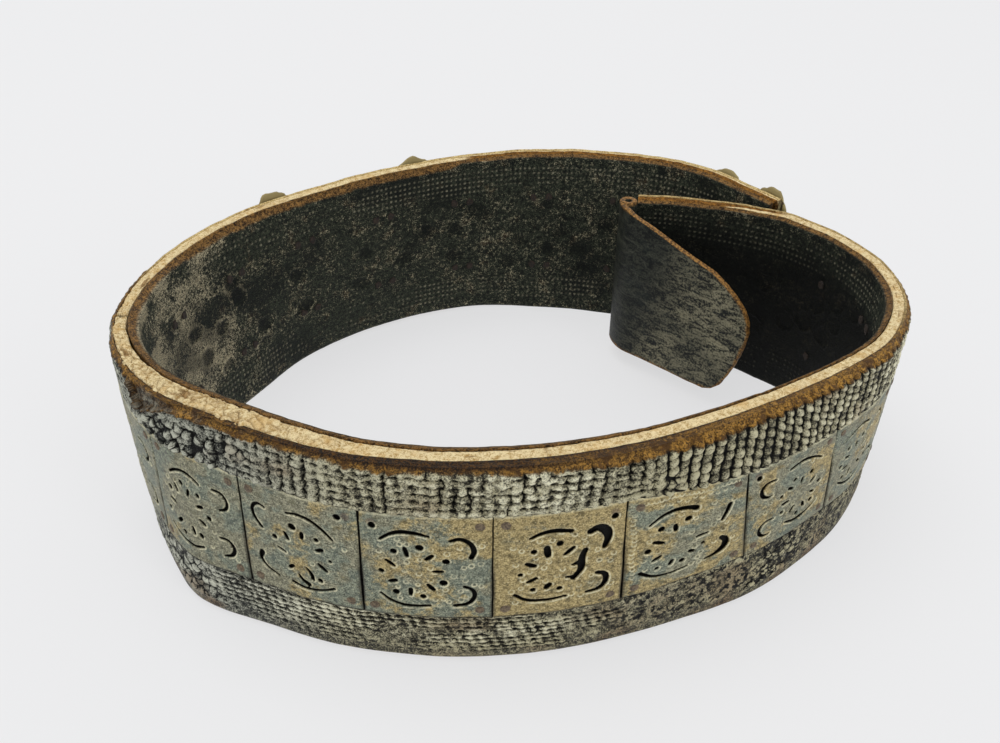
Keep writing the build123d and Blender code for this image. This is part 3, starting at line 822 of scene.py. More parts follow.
OWN_WORK = {
    ("front", 1): [
        curve([(-14, 13.6), (-8, 17.8), (-1, 17.6), (4, 14.6)], (0.7, 1.5, 1.0)),
        curve([(-17, -15.2), (-11, -19.4), (-3, -20.4), (3, -18.2)], (0.8, 1.6, 0.8)),
        slot(-10.5, 6.8, 118), slot(-3.0, 7.4, 72, 4.8), slot(3.2, 2.8, 18), slot(3.8, -5.0, -30),
        slot(-2.2, -11.6, -72), slot(-10.6, -10.2, 44), slot(-14.0, -1.6, -12),
        dot(-14.8, 5.0), dot(-6.9, 11.0, 2.5), dot(2.8, 8.4, 2.0), dot(8.0, -1.2), dot(2.2, -12.6),
        dot(-8.2, -15.2, 2.0), dot(-17.2, -7.2, 2.0),
        curve([(11.5, 14.6), (16.2, 14.8), (19.2, 11.2), (18.2, 6.8), (14.2, 5.4)], (0.9, 1.6, 0.8)),
        curve([(12.5, -9.4), (17.4, -9.0), (20.0, -13.0), (18.2, -17.2), (13.8, -18.6)], (0.9, 1.9, 0.8)),
    ],
    ("front", 2): [
        curve([(-4.6, 16.6), (1.0, 17.8), (7.0, 16.2), (11.5, 12.8), (15.0, 8.8)], (0.8, 1.8, 1.0)),
        curve([(-4.8, -19.4), (1.0, -21.2), (8.0, -20.6), (14.2, -17.6)], (1.3, 1.1, 0.8)),
        dot(-2.4, 10.2, 3.1), slot(-5.6, 4.6, -66, 4.8), slot(1.6, 6.8, 82, 4.4, 1.8), dot(-11.2, 2.2, 2.2),
        dot(8.0, 6.8, 1.9), slot(8.9, 1.6, 22, 4.4, 1.7), slot(-8.4, -3.6, -24, 4.4, 1.0),
        dot(13.4, -3.0, 1.3),
        slot(-4.8, -11.4, 42, 4.0, 1.6), slot(9.7, -7.4, -42, 5.8, 2.0), dot(8.2, -14.8, 2.1),
        curve([(2.2, -9.6), (4.4, -12.4), (4.8, -15.2)], (0.6, 1.8, 1.4)),
        curve([(-1.4, -14.6), (-0.4, -16.8), (2.6, -18.6)], (1.0, 1.6, 2.2)),
        curve([(-14.8, 15.8), (-18.0, 16.8), (-20.8, 14.4), (-20.8, 9.6), (-17.2, 5.0)], (1.0, 1.3, 1.5)),
        curve([(-18.4, -8.6), (-19.8, -11.8), (-17.4, -16.0), (-11.4, -18.6)], (2.2, 1.3, 0.9)),
    ],
    ("front", 3): [
        curve([(-17.8, 14.0), (-13.6, 17.6), (-8.6, 18.8), (-3.0, 18.4), (1.2, 17.2)], (0.8, 2.0, 1.1)),
        curve([(-18.6, -15.4), (-14.4, -19.0), (-8.8, -20.8), (-3.6, -20.8), (1.2, -20.2)], (0.9, 1.5, 0.9)),
        slot(-7.7, 8.2, 102, 5.6, 1.8), slot(1.4, 6.2, 42, 4.8, 1.8), slot(4.7, -1.2, 2, 4.9, 1.4),
        slot(1.8, -10.0, -50, 5.0, 1.9), slot(-6.4, -13.2, 88, 4.6, 1.6), slot(-13.4, -7.8, 20, 4.4, 1.9),
        slot(-14.1, 1.9, -38, 5.4, 1.6),
        dot(-12.6, 8.2, 2.4), dot(-2.3, 11.2, 3.0), dot(7.9, 4.3, 2.6), dot(6.8, -7.2, 2.9),
        dot(-1.4, -15.2, 2.2), dot(-12.3, -13.8, 2.4), dot(-17.9, -2.8, 2.1),
        curve([(9.8, 15.0), (13.6, 16.4), (17.6, 14.0), (19.2, 9.6), (17.8, 6.2)], (1.4, 1.9, 1.8)),
        curve([(15.2, -9.4), (18.4, -10.8), (19.4, -14.6), (16.8, -19.0), (11.2, -19.8)], (1.3, 1.5, 1.4)),
    ],
    ("front", 4): [
        curve([(-12.0, 14.8), (-8.0, 17.0), (-2.6, 17.8), (4.0, 16.4)], (1.0, 2.1, 1.7)),
        curve([(-17.6, -15.2), (-13.4, -18.8), (-6.2, -19.8), (2.6, -18.6)], (1.2, 1.6, 1.0)),
        slot(-5.2, 6.8, 98, 7.0, 2.7), slot(3.4, 6.0, 44, 6.2, 1.8), slot(-11.6, 0.6, -24, 5.2, 2.2),
        slot(-11.0, -7.8, 28, 5.2, 1.7), slot(-4.8, -11.8, 52, 4.4, 2.6),
        dot(-10.5, 7.7, 2.2), dot(-0.4, 10.6, 2.5), dot(-10.6, -13.0, 2.0), dot(0.0, -13.8, 2.0),
        dot(-15.6, -4.2, 1.6),
        curve([(9.9, 5.2), (8.7, 2.2), (8.4, -0.6), (8.7, -3.6), (7.8, -5.8), (5.4, -9.2)], (2.1, 3.0, 2.0)),
        curve([(7.8, -0.8), (5.0, -1.6)], (2.6, 2.2, 1.0)),
        curve([(5.8, -8.4), (2.8, -8.2)], (1.8, 1.5, 1.0)),
        curve([(11.6, 14.6), (14.4, 16.4), (17.8, 14.6), (19.4, 10.4), (17.7, 5.4)], (2.6, 4.2, 1.9)),
        curve([(15.4, -8.4), (18.8, -9.6), (19.2, -13.6), (16.8, -17.6), (11.2, -18.4)], (1.8, 2.3, 1.2)),
    ],
    ("front", 5): [
        curve([(-16.6, 11.2), (-12.2, 15.2), (-6.4, 17.2), (0.0, 16.6), (2.6, 15.2)], (0.9, 1.9, 2.6)),
        curve([(-19.4, -15.0), (-14.0, -19.0), (-7.0, -20.0), (0.0, -18.8)], (1.5, 1.0, 0.7)),
        slot(-5.8, 6.6, 96, 4.8, 1.9), slot(-12.6, 0.4, -20, 5.6, 1.8), slot(6.0, -2.0, 6, 5.8, 1.3),
        slot(-13.0, -8.6, 28, 4.8, 1.7), slot(-6.8, -13.4, 66, 3.8, 1.9), slot(1.6, -10.0, -28, 3.4, 1.9),
        dot(-11.8, 7.8, 2.6), dot(-0.6, 10.2, 2.8), dot(-16.8, -3.4, 2.5), dot(6.6, -7.2, 1.5),
        dot(-2.2, -14.2, 2.2), dot(-12.6, -14.4, 1.6),
        curve([(18.0, 11.4), (16.6, 7.4), (14.8, 3.2)], (2.3, 1.9, 1.4)),
        curve([(14.8, -7.8), (17.2, -10.4), (16.4, -14.4), (12.6, -17.4), (8.0, -18.2)], (1.9, 3.6, 0.7)),
    ],
}
OPEN_CORNERS = {("front", 2): [(17.8, 21.4)], ("front", 3): [(-20.8, 20.6)], ("front", 4): [(21.3, 20.4)],
                ("front", 6): [(-20.4, 20.6)], ("back", 2): [(20.8, 20.8)]}
LEFT_HANDED = {("front", 2), ("front", 6), ("back", 1), ("back", 4), ("back", 7)}
# For each plate: gold and blue share, rings punched on it.
TINTS = {("front", 0): (-0.3, 0.0, 6), ("front", 1): (-0.5, 0.0, 10), ("front", 2): (-0.35, 0.1, 4),
         ("front", 3): (0.15, 0.45, 42), ("front", 4): (0.75, -0.3, 30), ("front", 5): (0.25, 0.3, 26),
         ("front", 6): (-0.2, 0.1, 8), ("front", 7): (-0.35, 0.1, 6), ("front", 8): (-0.3, 0.0, 6)}


def plate_distances(index, side):
    """Where a plate begins and ends along the band; side is 1 in front, -1 behind."""
    near = HINGE + side * ((PLATE_PITCH - PLATE_WIDTH) / 2 + index * PLATE_PITCH)
    far = near + side * PLATE_WIDTH
    return min(near, far), max(near, far)


# The plates aren't quite regular. Where two meet, by count of plates from the left bend:
# how far along the band the joint is moved at its top and its foot, and the plates' edges.
JOINTS = [0, 1, 2, 3, 4, 5, 6, 7, 8, 10]
JOINT_TOP = [0, 0, -2.6, -2.0, -2.7, -2.4, 1.5, 2.0, 0, 0]
JOINT_FOOT = [0, 0, -0.8, -2.5, -2.7, -1.2, 5.6, 5.2, 2, 0]
UPPER_LINE = [80, 80, 80, 80, 80, 80, 75.2, 74.6, 76, 80]
LOWER_LINE = [26, 26, 26, 26, 26, 26, 28.6, 28.6, 27, 26]


def plate_place(s, share, depth):
    """Points on the plates' row: share runs from 0 at their foot to 1 at their top."""
    count = (s - HINGE) / PLATE_PITCH
    foot, top = np.interp(count, JOINTS, JOINT_FOOT), np.interp(count, JOINTS, JOINT_TOP)
    z = np.interp(count, JOINTS, LOWER_LINE) * (1 - share) + np.interp(count, JOINTS, UPPER_LINE) * share
    return place(s + foot * (1 - share) + top * share, depth, z)


def drop_unused(points, faces, values):
    """Leaves out the points that no face uses."""
    used = np.zeros(len(points), bool)
    used[faces.ravel()] = True
    index = np.cumsum(used) - 1
    return points[used], index[faces], {key: value[used] for key, value in values.items()}


def pierced_faces(kept, rows, columns):
    """Quads of a plate's front and back where a cell is kept, and of the walls between them."""
    count = rows * columns
    number = np.arange(count).reshape(rows, columns)
    quads = grid_quads(rows, columns, False).reshape(rows - 1, columns - 1, 4)
    faces = [quads[kept], quads[kept][:, ::-1] + count]
    padded = np.pad(kept, 1)
    for before, after, di, dj in ((padded[:-1, 1:-1], padded[1:, 1:-1], 0, 1),
                                  (padded[1:-1, 1:], padded[1:-1, :-1], 1, 0)):
        for walled, flip in ((after & ~before, False), (before & ~after, True)):
            i, j = np.nonzero(walled)
            a, b = number[i, j], number[i + di, j + dj]
            a, b = (b, a) if flip else (a, b)
            faces.append(np.stack([a, b, b + count, a + count], -1))
    return np.concatenate(faces)


def punch_marks(u, v, holes, seed, count, border):
    """Rings and crescent marks struck into a plate: their height and the painted highlight along their raised
    lines.
    """
    rng = np.random.default_rng(seed)
    height, painted_highlight = np.zeros(u.shape), np.zeros(u.shape)
    marks = []
    for _ in range(4000):
        if len(marks) >= count:
            break
        mu, mv = rng.uniform(-19, 22), rng.uniform(-20, 17)
        i, j = np.abs(u[:, 0] - mu).argmin(), np.abs(v[0] - mv).argmin()
        clear = all(math.hypot(mu - x, mv - y) > 2.5 for x, y, _, _ in marks)
        if clear and holes[i, j] > 1.5:
            marks.append((mu, mv, rng.uniform(0.85, 1.15), rng.uniform(0.4, 1.0)))
    if border:
        marks += [(x, 24.4 - 0.5 * math.sin(x / 4), 0.9, 0.55) for x in np.arange(-19, 22, 2.1)]
        marks += [(-23.0 + 0.5 * math.sin(y / 3), y, 0.9, 0.5) for y in np.arange(-16, 20, 2.3)]
        marks += [(x, 21.4 + 0.6 * math.sin(x), 0.8, 0.5) for x in np.arange(-12, 20, 3.4)]
    for mu, mv, radius, full in marks:
        near = (np.abs(u - mu) < 2.4) & (np.abs(v - mv) < 2.4)
        du, dv = u[near] - mu, v[near] - mv
        away = np.hypot(du, dv)
        open_side = smooth(-1.0, 0.4, full * 2 - 1 - dv / radius)
        line = np.exp(-((away - radius) / 0.24) ** 2) * open_side
        height[near] += 0.28 * line - 0.30 * np.exp(-(away / 0.6) ** 2)
        # Painted highlight along the raised line of each ring
        painted_highlight[near] = np.maximum(painted_highlight[near], line * rng.uniform(0.5, 1.0))
    return height, painted_highlight


def cut_plate(work, seed):
    """Grid of a plate, distance from its cuts, the cells that are kept and moves on to the cuts."""
    half_u, half_v = PLATE_WIDTH / 2, (PLATE_TOP - PLATE_BOTTOM) / 2
    cell = 0.31
    u, v = np.meshgrid(spread(-half_u, half_u, cell), spread(-half_v, half_v, cell), indexing="ij")
    holes = np.full(u.shape, 99.0)
    for points, widths in work:
        holes = np.minimum(holes, stroke_distance(u, v, points, widths) - 0.22)
    holes = holes + 0.10 * fbm(u / 1.6, v / 1.6, seed, 2)
    kept = (holes[:-1, :-1] + holes[1:, :-1] + holes[1:, 1:] + holes[:-1, 1:]) / 4 > 0
    padded = np.pad(kept, 1).astype(int)
    around = padded[:-1, :-1] + padded[1:, :-1] + padded[1:, 1:] + padded[:-1, 1:]
    shore = (around > 0) & (around < 4)
    shore[[0, -1]] = shore[:, [0, -1]] = False
    slope = np.stack(np.gradient(holes, u[:, 0], v[0]))
    move = np.where(shore, -np.clip(holes, -0.4, 0.4) * slope / np.maximum((slope ** 2).sum(0), 0.3), 0)
    return u, v, holes, kept, slope, move


def plate_colours(u, v, seed, tints, painted_highlight, holes, slope):
    """Point values of a plate's stains, its painted highlights on edges and struck rings, and its darker
    border.
    """
    gold, blue = tints
    half_u, half_v = PLATE_WIDTH / 2, (PLATE_TOP - PLATE_BOTTOM) / 2
    # Painted highlight along the top edge, and along the hole edges on the side that faces the light
    edge_highlight = smooth(1.5, 0.2, half_v - v) * (0.55 + 0.45 * fbm(u / 6, 0 * u, seed + 13, 2))
    lit = smooth(-0.5, 0.7, (slope[0] - slope[1]) / np.sqrt(np.maximum((slope ** 2).sum(0), 0.01)))
    edging = bump(holes, 0.42, 0.34) * (0.25 + 0.75 * lit)
    edge_highlight = np.maximum(edge_highlight, edging * smooth(-0.45, 0.25, fbm(u / 2.6, v / 2.6, seed + 14, 2)))
    outline = np.minimum(half_u - np.abs(u), half_v - np.abs(v))
    return {"gold": np.clip(0.5 + 1.1 * gold + 1.5 * fbm(u / 17, v / 15, seed + 11, 4), 0, 1),
            "blue": np.clip(0.4 + 1.1 * blue + 1.7 * fbm(u / 13, v / 11, seed + 12, 4), 0, 1),
            "painted_highlight": np.clip(painted_highlight + 0.8 * edge_highlight, 0, 1),
            "rust": smooth(2.6, 1.2, np.hypot(np.abs(u) - RIVET_U, np.abs(v) - RIVET_V)),
            # Darker along the outline, towards the plate's foot
            "dark_border": 0.9 * smooth(1.4, 0.0, outline) * smooth(0.5, -0.3, v / half_v)}


def plate_mesh(side_name, side, index, material):
    middle = sum(plate_distances(index, side)) / 2
    key = (side_name, index)
    seed = 1000 + 40 * index + (0 if side > 0 else 17)
    work = OWN_WORK.get(key) or common_work(-1 if key in LEFT_HANDED else 1, seed)
    work = work + [dot(x, y, 2.7) for x, y in OPEN_CORNERS.get(key, [])]
    gold, blue, rings = TINTS.get(key, (-0.25, 0.05, 8))
    half_u, half_v = PLATE_WIDTH / 2, (PLATE_TOP - PLATE_BOTTOM) / 2
    u, v, holes, kept, slope, move = cut_plate(work, seed)
    mark_height, painted_highlight = punch_marks(u, v, holes, seed + 3, rings, key == ("front", 5))
    outline = np.minimum(half_u - np.abs(u), half_v - np.abs(v))
    height = 0.28 * fbm(u / 10, v / 10, seed + 5, 3) + 0.05 * fbm(u / 1.5, v / 1.5, seed + 6, 3)
    height = height + 0.26 * bump(holes, 0.45, 0.35) * (0.5 + 0.5 * fbm(u / 2, v / 2, seed + 7, 2))
    height = height + mark_height - 0.30 * smooth(0.8, 0.0, outline)
    height = height - 0.22 * smooth(2.4, 0, np.hypot(np.abs(u) - RIVET_U, np.abs(v) - RIVET_V))
    wave_u = 0.35 * fbm(v / 14, 0 * v, seed + 8, 2) * np.abs(u / half_u) ** 3
    wave_v = 0.45 * fbm(u / 14, 0 * u, seed + 9, 2) * np.abs(v / half_v) ** 3
    s = middle + u + move[0] + wave_u
    share = (v + move[1] + wave_v + half_v) / (2 * half_v)
    front = plate_place(s, share, -(PLATE_LIFT + height)).reshape(-1, 3)
    back = plate_place(s, share, PLATE_BACK + 0 * s).reshape(-1, 3)
    values = plate_colours(u, v, seed, (gold, blue), painted_highlight, holes, slope)
    values = {key: np.tile(value.ravel(), 2) for key, value in values.items()}
    values["wall"] = np.repeat([0.0, 1.0], u.size)
    values["flat"] = np.tile(np.stack([u + seed, v, 0 * u], -1).reshape(-1, 3), (2, 1)) * MM
    points, faces, values = drop_unused(np.concatenate([front, back]), pierced_faces(kept, *u.shape), values)
    name = f"plate_{side_name}_{index + 1}"
    obj = mesh_object(f"{name}_worked", points, faces, values)
    obj.data.materials.append(material)
    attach(obj, f"{side_name}_band")
    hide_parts(name)


def plate_material():
    n = Material("plate_brass")
    where = n.place("flat")
    broad = n.noise(where, 90, 5, 0.65)
    fine = n.noise(where, 520, 6, 0.7)
    grit = n.noise(where, 1500, 4, 0.7)
    fleck = n.plus(n.times(fine, 0.5), n.times(grit, 0.5))
    smudge = n.noise(where, 230, 5, 0.7)
    grey = n.ramp(fleck, 0.38, 0.66, srgb(66, 66, 50), srgb(188, 185, 156))
    grey = n.mix(n.times(n.span(smudge, 0.5, 0.60), 0.6), grey, srgb(88, 86, 62))
    gilt = n.ramp(fleck, 0.38, 0.66, srgb(96, 82, 44), srgb(216, 196, 140))
    gilt = n.mix(n.times(n.span(smudge, 0.54, 0.64), 0.75), gilt, srgb(72, 62, 30))
    gilt = n.mix(n.times(n.span(broad, 0.54, 0.66), 0.5), gilt, srgb(96, 92, 66))
    pale = n.ramp(fleck, 0.38, 0.66, srgb(60, 67, 56), srgb(168, 174, 152))
    pale = n.mix(n.times(n.span(smudge, 0.52, 0.60), 0.55), pale, srgb(72, 84, 78))
    ragged = n.times(n.plus(n.minus(smudge, 0.5), n.minus(fine, 0.5)), 1.3)
    colour = n.mix(n.span(n.plus(n.value("blue"), ragged), 0.35, 0.85), grey, pale)
    colour = n.mix(n.span(n.plus(n.value("gold"), ragged), 0.30, 0.80), colour, gilt)
    colour = n.mix(n.times(n.span(n.noise(where, 420, 5, 0.7), 0.58, 0.64), 0.65), colour, srgb(38, 36, 24))
    # Painted glints: small bright flecks of light on the metal
    colour = n.mix(n.times(n.span(grit, 0.58, 0.66), 0.45), colour, srgb(232, 226, 196))
    colour = n.mix(n.times(n.value("rust"), 0.6), colour,
                   n.ramp(fine, 0.4, 0.65, srgb(78, 60, 48), srgb(124, 102, 84)))
    # Painted highlight on the top edge, the hole edges and the struck rings
    colour = n.mix(n.times(n.value("painted_highlight"), n.span(fine, 0.28, 0.48)), colour, srgb(232, 226, 190))
    # Darker along the outline, towards the plate's foot
    colour = n.mix(n.times(n.value("dark_border"), 0.8), colour, srgb(36, 32, 22))
    colour = n.mix(n.span(n.value("wall"), 0.15, 0.6), colour, srgb(30, 26, 18))
    height = n.plus(n.times(fine, 0.6), n.times(grit, 0.4))
    return n.finish(colour, n.span(fine, 0.3, 0.75, 0.42, 0.68), height, 0.35, 0.0004, Metallic=0.45)


SIDES = [("front", 1, PLATES_FRONT), ("back", -1, PLATES_BACK)]


def build_plates():
    material = plate_material()
    for side_name, side, count in SIDES:
        for index in range(count):
            plate_mesh(side_name, side, index, material)


# ------------------------------------------------------------------ rivets, burrs and studs
def disc_points(s, z, base, profile, around, seed, uneven, inward=False):
    """A low turned shape on the outer or the inner face: rings of radius and rise."""
    angle = np.linspace(0, 2 * math.pi, around, endpoint=False)
    wobble = 1 + uneven * fbm(2.2 * np.cos(angle) + 7 * seed, 2.2 * np.sin(angle), seed, 2)
    points, rises = [], []
    for radius, rise in profile:
        along, up = radius * wobble * np.cos(angle), radius * wobble * np.sin(angle)
        dent = 1 + 0.35 * uneven * fbm(along / 2.5 + seed, up / 2.5, seed + 2, 2)
        depth = base + rise * dent if inward else base - rise * dent
        if inward or z > PLATE_TOP:
            points.append(place(s + along, depth, z + up))
        else:
            share = (z + up - PLATE_BOTTOM) / (PLATE_TOP - PLATE_BOTTOM)
            points.append(plate_place(s + along, share, depth))
        rises.append(np.full(around, rise))
    faces = grid_quads(len(profile), around, True)
    if not inward:
        faces = faces[:, ::-1]
    return np.concatenate(points), faces, np.concatenate(rises)


def join_discs(name, discs, material, body, replaced):
    """One piece from several turned shapes."""
    points, faces, rises, offset = [], [], [], 0
    for disc, quads, rise in discs:
        points.append(disc)
        faces.append(quads + offset)
        rises.append(rise)
        offset += len(disc)
    obj = mesh_object(name, np.concatenate(points), np.concatenate(faces), {"rise": np.concatenate(rises)})
    obj.data.materials.append(material)
    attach(obj, body)
    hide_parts(replaced)


def small_metal(name, dark, light, metallic, roughness):
    n = Material(name)
    where = n.add("ShaderNodeTexCoord").outputs["Object"]
    fine = n.noise(where, 900, 5, 0.7)
    colour = n.mix(n.span(fine, 0.36, 0.64), dark, light)
    return n.finish(colour, roughness, fine, 0.5, 0.0004, Metallic=metallic)


def corners(index, side):
    """Places of a plate's rivets: distance along the band and height."""
    begin, finish = plate_distances(index, side)
    return [(s, z) for s in (begin + RIVET_INSET, finish - RIVET_INSET)
            for z in (PLATE_BOTTOM + RIVET_INSET, PLATE_TOP - RIVET_INSET)]


def build_rivets():
    head = small_metal("rivet_metal", srgb(70, 58, 46), srgb(122, 106, 84), 0.4, 0.55)
    # Dark burr metal, made darker still as painted shade so the burrs sit in the shaded inner wall
    burr = small_metal("burr_metal", srgb(16, 12, 9), srgb(52, 38, 26), 0.1, 0.75)
    dome = [(1.95, 0.0), (1.85, 0.22), (1.5, 0.42), (0.9, 0.52), (0.02, 0.55)]
    flat = [(2.3, -0.5), (2.2, 0.45), (1.7, 0.7), (0.9, 0.62), (0.02, 0.5)]
    for side_name, side, count in SIDES:
        heads, burrs = [], []
        for index in range(count):
            middle_s, middle_z = sum(plate_distances(index, side)) / 2, (PLATE_BOTTOM + PLATE_TOP) / 2
            gone = OPEN_CORNERS.get((side_name, index), [])
            for number, (s, z) in enumerate(corners(index, side)):
                seed = 50 * index + 7 * number + side
                if not any(abs(s - middle_s - u) < 5 and abs(z - middle_z - v) < 5 for u, v in gone):
                    heads.append(disc_points(s, z, -PLATE_LIFT + 0.15, dome, 14, seed, 0.25))
                depth = float(layer_depths(np.array(s))[2])
                burrs.append(disc_points(s, z, depth, flat, 12, seed + 3, 0.35, True))
        body = f"{side_name}_band"
        join_discs(f"rivet_heads_{side_name}", heads, head, body, f"plate_rivets_{side_name}")
        join_discs(f"burrs_{side_name}", burrs, burr, body, f"rivet_burrs_{side_name}")


def stud_material():
    n = Material("stud_brass")
    where = n.add("ShaderNodeTexCoord").outputs["Object"]
    broad = n.noise(where, 130, 5, 0.7)
    fine = n.noise(where, 700, 5, 0.7)
    colour = n.ramp(broad, 0.38, 0.62, srgb(104, 102, 66), srgb(176, 156, 98))
    colour = n.mix(n.times(n.span(fine, 0.5, 0.7), 0.5), colour, srgb(60, 74, 52))
    # Painted light: the low rim and flat back are lighter, as where light falls on the part above the band's
    # edge
    colour = n.mix(n.span(n.value("rise"), 0.9, 0.0), colour, srgb(146, 130, 82))
    return n.finish(colour, 0.5, fine, 0.5, 0.0006, Metallic=0.15)


def build_studs():
    profile = [(0.02, -0.4), (6.0, -0.5), (10.2, -0.6), (10.6, 0.5), (10.2, 1.2), (9.4, 1.7), (8.8, 2.5),
               (7.7, 3.8), (6.2, 5.0), (4.2, 5.9), (2.2, 6.35), (0.9, 6.45), (0.02, 6.5)]
    discs = [disc_points(s, STUD_HEIGHT, 0.0, profile, 40, 11 + 5 * i, 0.14)
             for i, s in enumerate(STUD_PLACES)]
    join_discs("studs_worked", discs, stud_material(), "back_band", "edge_studs")


# ------------------------------------------------------------------ folded flap
FOLD = np.array([59.52, 87.36])
FOLD_RADIUS = 4.8
EYE_RADIUS = 1.8
FLAP_THICK = 3.0
FLAP_ARC = (26.0, 48.0)                 # radius and sweep in degrees of the leaf's bend
FLAP_FOOT = 10.0
FLAP_TOP = 98.0
ROLL_SIDES = 48
# How far the leaf reaches past the bend's start at each height.
FLAP_OUTLINE = {10: 66.5, 12: 71.5, 16: 75.5, 24: 79.5, 34: 83.5, 44: 86.6, 54: 88, 60: 87.4, 66: 84,
                72: 78.5, 77: 71.5, 81.5: 63, 84: 54, 88: 40, 93.5: 22, 98: 4}


def flap_path(w, offset):
    """Plan of the leaf: distance w along its outer face, offset into its thickness."""
    radius, sweep = FLAP_ARC[0], math.radians(FLAP_ARC[1])
    turn = np.minimum(w / radius, sweep)
    past = np.maximum(w - radius * sweep, 0)
    x = FOLD[0] - FOLD_RADIUS + radius - (radius - offset) * np.cos(turn) + past * math.sin(sweep)
    y = FOLD[1] - (radius - offset) * np.sin(turn) - past * math.cos(sweep)
    return x, y


def flap_material():
    n = Material("flap_leather")
    where = n.place("leaf")
    broad = n.noise(where, 60, 5, 0.7, 1.2)
    stretched = n.mapped(where, (0.5, 1.3, 1.0), math.radians(-38))
    strokes = n.noise(stretched, 150, 7, 0.75, 1.5)
    fine = n.noise(where, 800, 5, 0.7)
    mixed = n.plus(n.times(strokes, 0.55), n.times(fine, 0.45))
    colour = n.ramp(mixed, 0.42, 0.60, srgb(5, 9, 8), srgb(28, 36, 33))
    colour = n.mix(n.times(n.span(broad, 0.5, 0.62), 0.5), colour, srgb(22, 32, 30))
    colour = n.mix(n.times(n.span(mixed, 0.57, 0.66), 0.4), colour, srgb(98, 104, 92))
    worn = n.times(n.value("worn"), n.span(mixed, 0.44, 0.58))
    colour = n.mix(worn, colour, srgb(148, 142, 116))
    brown = n.ramp(fine, 0.40, 0.60, srgb(66, 44, 20), srgb(164, 120, 62))
    colour = n.mix(n.value("edge"), colour, brown)
    return n.finish(colour, n.span(fine, 0.3, 0.75, 0.38, 0.62), mixed, 0.6, 0.0008, Specular_IOR_Level=0.18)


def leaf_piece():
    """The leaf: rows of constant height, each a closed loop round the leaf's thickness."""
    z = spread(FLAP_FOOT, FLAP_TOP, 1.0)[:, None]
    reach = 8.0 + table_at(FLAP_OUTLINE, z) + 0.35 * fbm(z / 6, 0 * z, 501, 3)
    half = 110
    w_out = 1.0 + (reach - 1.0) * np.linspace(0, 1, half)
    tip = np.array([[0.2, 0.5, 0.8]])       # between the outer and the inner face
    ripple = 0.5 * fbm(w_out / 16, z / 16, 511, 3) + 0.12 * fbm(w_out / 3, z / 3, 515, 3)
    outer = -ripple * smooth(0, 12, w_out)
    inner = FLAP_THICK + outer
    w = np.concatenate([w_out, reach + 0.5 * np.sin(np.pi * tip), w_out[:, ::-1]], 1)
    middle = outer[:, -1:] + (inner[:, -1:] - outer[:, -1:]) * tip
    offset = np.concatenate([outer, middle, inner[:, ::-1]], 1)
    x, y = flap_path(w, offset)
    z = z + 0 * x
    rows, columns = x.shape
    faces = [grid_quads(rows, columns, True)[:, ::-1]]
    # The foot and the top are closed between the two faces.
    number = np.arange(rows * columns).reshape(rows, columns)
    for row, turned in ((0, -1), (rows - 1, 1)):
        near, far = number[row, :half], number[row, ::-1][:half]
        faces.append(np.stack([near[:-1], near[1:], far[1:], far[:-1]], -1)[:, ::turned])
    to_edge = np.minimum(np.minimum(reach - w, 1.6 * (reach - w)), np.minimum(z - FLAP_FOOT, FLAP_TOP - z))
    edge = smooth(1.3, 0.3, to_edge + 0.5 * fbm(w / 3, z / 3, 521, 2))
    worn = smooth(20, 62, w + 0.35 * (40 - z)) * (0.75 + 0.6 * fbm(w / 20, z / 20, 525, 3)) + 0.1
    values = {"edge": edge.ravel(), "worn": np.clip(worn, 0, 1).ravel(),
              "leaf": np.stack([w, z, offset], -1).reshape(-1, 3) * MM}
    points = np.stack([x, y, z], -1).reshape(-1, 3)
    return mesh_object("flap_leaf_skin", points, np.concatenate(faces), values)


def roll_piece():
    """The rolled fold with its eye: rings round its axis, down the eye and up the outside."""
    heights = spread(FLAP_FOOT, FLAP_TOP, 2.0)
    angle = np.linspace(0, 2 * math.pi, ROLL_SIDES, endpoint=False)
    foot = [(EYE_RADIUS + 0.6, FLAP_FOOT - 0.2), (FOLD_RADIUS - 0.4, FLAP_FOOT - 0.2)]
    crown = [(FOLD_RADIUS - 0.5, FLAP_TOP + 0.5), (EYE_RADIUS + 0.5, FLAP_TOP + 0.3)]
    profile = [(EYE_RADIUS, h) for h in heights[::-1]] + foot + [(FOLD_RADIUS, h) for h in heights] + crown
    rings = []
    for radius, height in profile:
        bumpy = radius + 0.12 * fbm(np.cos(angle) * 2, height / 8 + np.sin(angle) * 2, 531, 3)
        rings.append(np.stack([FOLD[0] + bumpy * np.cos(angle), FOLD[1] + bumpy * np.sin(angle),
                               np.full(angle.shape, height)], -1))
    rings = np.stack(rings)
    count = len(profile)
    i, j = np.meshgrid(np.arange(count), np.arange(ROLL_SIDES), indexing="ij")
    k, m = (i + 1) % count, (j + 1) % ROLL_SIDES
    quads = np.stack([i * ROLL_SIDES + j, i * ROLL_SIDES + m, k * ROLL_SIDES + m, k * ROLL_SIDES + j], -1)
    tall = rings[..., 2]
    away = np.hypot(rings[..., 0] - FOLD[0], rings[..., 1] - FOLD[1])
    edge = np.clip(smooth(96.6, 98.2, tall) + smooth(11.5, 10, tall), 0, 1) * (away > 2.1)
    values = {"edge": edge.ravel(), "worn": np.full(tall.size, 0.1),
              "leaf": np.stack([angle * FOLD_RADIUS + 0 * tall, tall, away], -1).reshape(-1, 3) * MM}
    return mesh_object("flap_roll_skin", rings.reshape(-1, 3), quads.reshape(-1, 4), values)


def build_flap():
    leaf, roll = leaf_piece(), roll_piece()
    material = flap_material()
    for piece in (leaf, roll):
        piece.data.materials.append(material)
        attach(piece, "flap_leaf")
    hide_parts("flap")


build_leather()
build_plates()
build_rivets()
build_studs()
build_flap()


# ------------------------------------------------------------------ stage, light, camera
FLOOR_COLOUR = (0.22, 0.22, 0.222, 1)
FLOOR_GLOW = (1.0, 1.0, 1.01, 1)
FLOOR_GLOW_STRENGTH = 0.62
WORLD_STRENGTH = 0.81


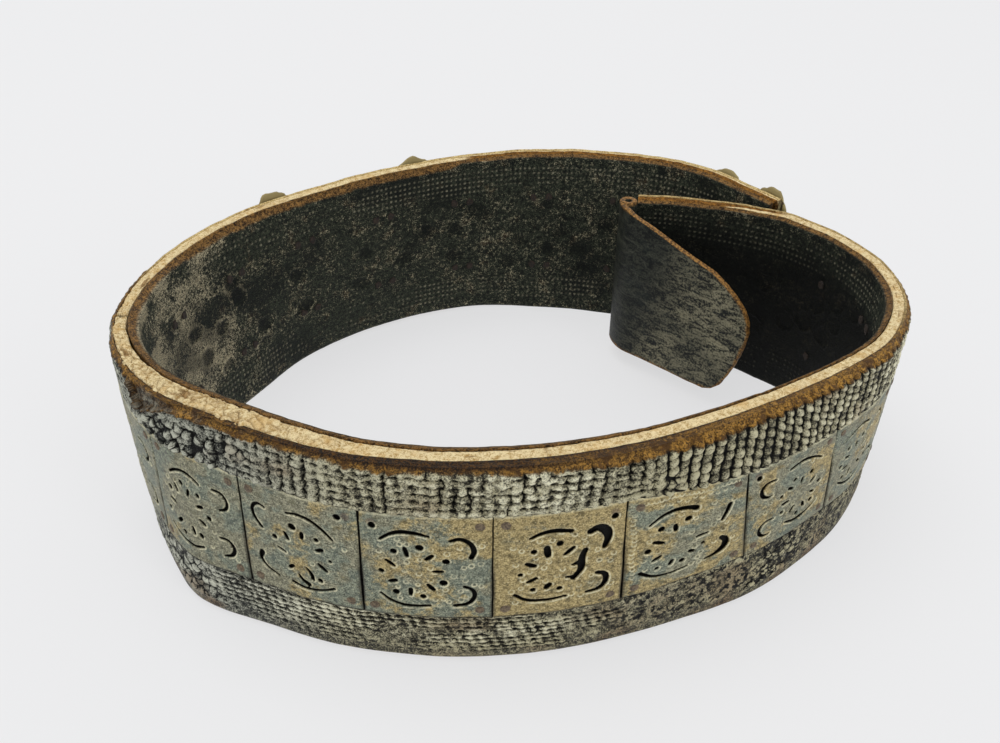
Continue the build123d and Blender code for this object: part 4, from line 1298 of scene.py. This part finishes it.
def build_stage():
    floor = mesh_object("floor", np.array([[-6000.0, -3500, 0], [6000, -3500, 0], [6000, 9000, 0],
                                           [-6000, 9000, 0]]), [np.array([0, 1, 2, 3])])
    material = Material("pale_floor")
    for key, value in (("Base Color", FLOOR_COLOUR), ("Emission Color", FLOOR_GLOW), ("Roughness", 0.9),
                       ("Emission Strength", FLOOR_GLOW_STRENGTH), ("Specular IOR Level", 0.1)):
        material.shader.inputs[key].default_value = value
    floor.data.materials.append(material.block)


def area_light(name, spot, aim, size, power):
    light = bpy.data.lights.new(name, "AREA")
    light.shape = "RECTANGLE"
    light.size, light.size_y = size
    light.energy = power
    obj = bpy.data.objects.new(name, light)
    bpy.context.collection.objects.link(obj)
    obj.location = spot
    obj.rotation_mode = "QUATERNION"
    obj.rotation_quaternion = (Vector(aim) - Vector(spot)).to_track_quat("-Z", "Y")


def build_lights():
    world = bpy.data.worlds.new("studio")
    bpy.context.scene.world = world
    world.use_nodes = True
    background = world.node_tree.nodes["Background"]
    background.inputs["Color"].default_value = (0.98, 0.99, 1.0, 1)
    background.inputs["Strength"].default_value = WORLD_STRENGTH
    area_light("overhead", (-0.5, 0.2, 2.2), (0, 0, 0), (1.4, 1.4), 12)
    area_light("front_right", (1.1, -1.2, 0.9), (0, 0, 0.05), (0.5, 0.5), 4)


CAMERA_PLACE = (-0.0108, -0.4479, 0.3482)
CAMERA_PITCH = math.radians(34.37)
CAMERA_ROLL = math.radians(0.66)
CAMERA_LENS = 37.8


def build_camera():
    camera = bpy.data.objects.new("camera", bpy.data.cameras.new("camera"))
    bpy.context.collection.objects.link(camera)
    camera.data.lens = CAMERA_LENS
    camera.data.sensor_width = 36
    camera.data.clip_start = 0.01
    turn = Matrix.Rotation(math.pi / 2 - CAMERA_PITCH, 4, "X") @ Matrix.Rotation(CAMERA_ROLL, 4, "Z")
    camera.matrix_world = Matrix.Translation(CAMERA_PLACE) @ turn
    bpy.context.scene.camera = camera
    bpy.context.scene.view_settings.view_transform = "Standard"


build_stage()
build_lights()
build_camera()
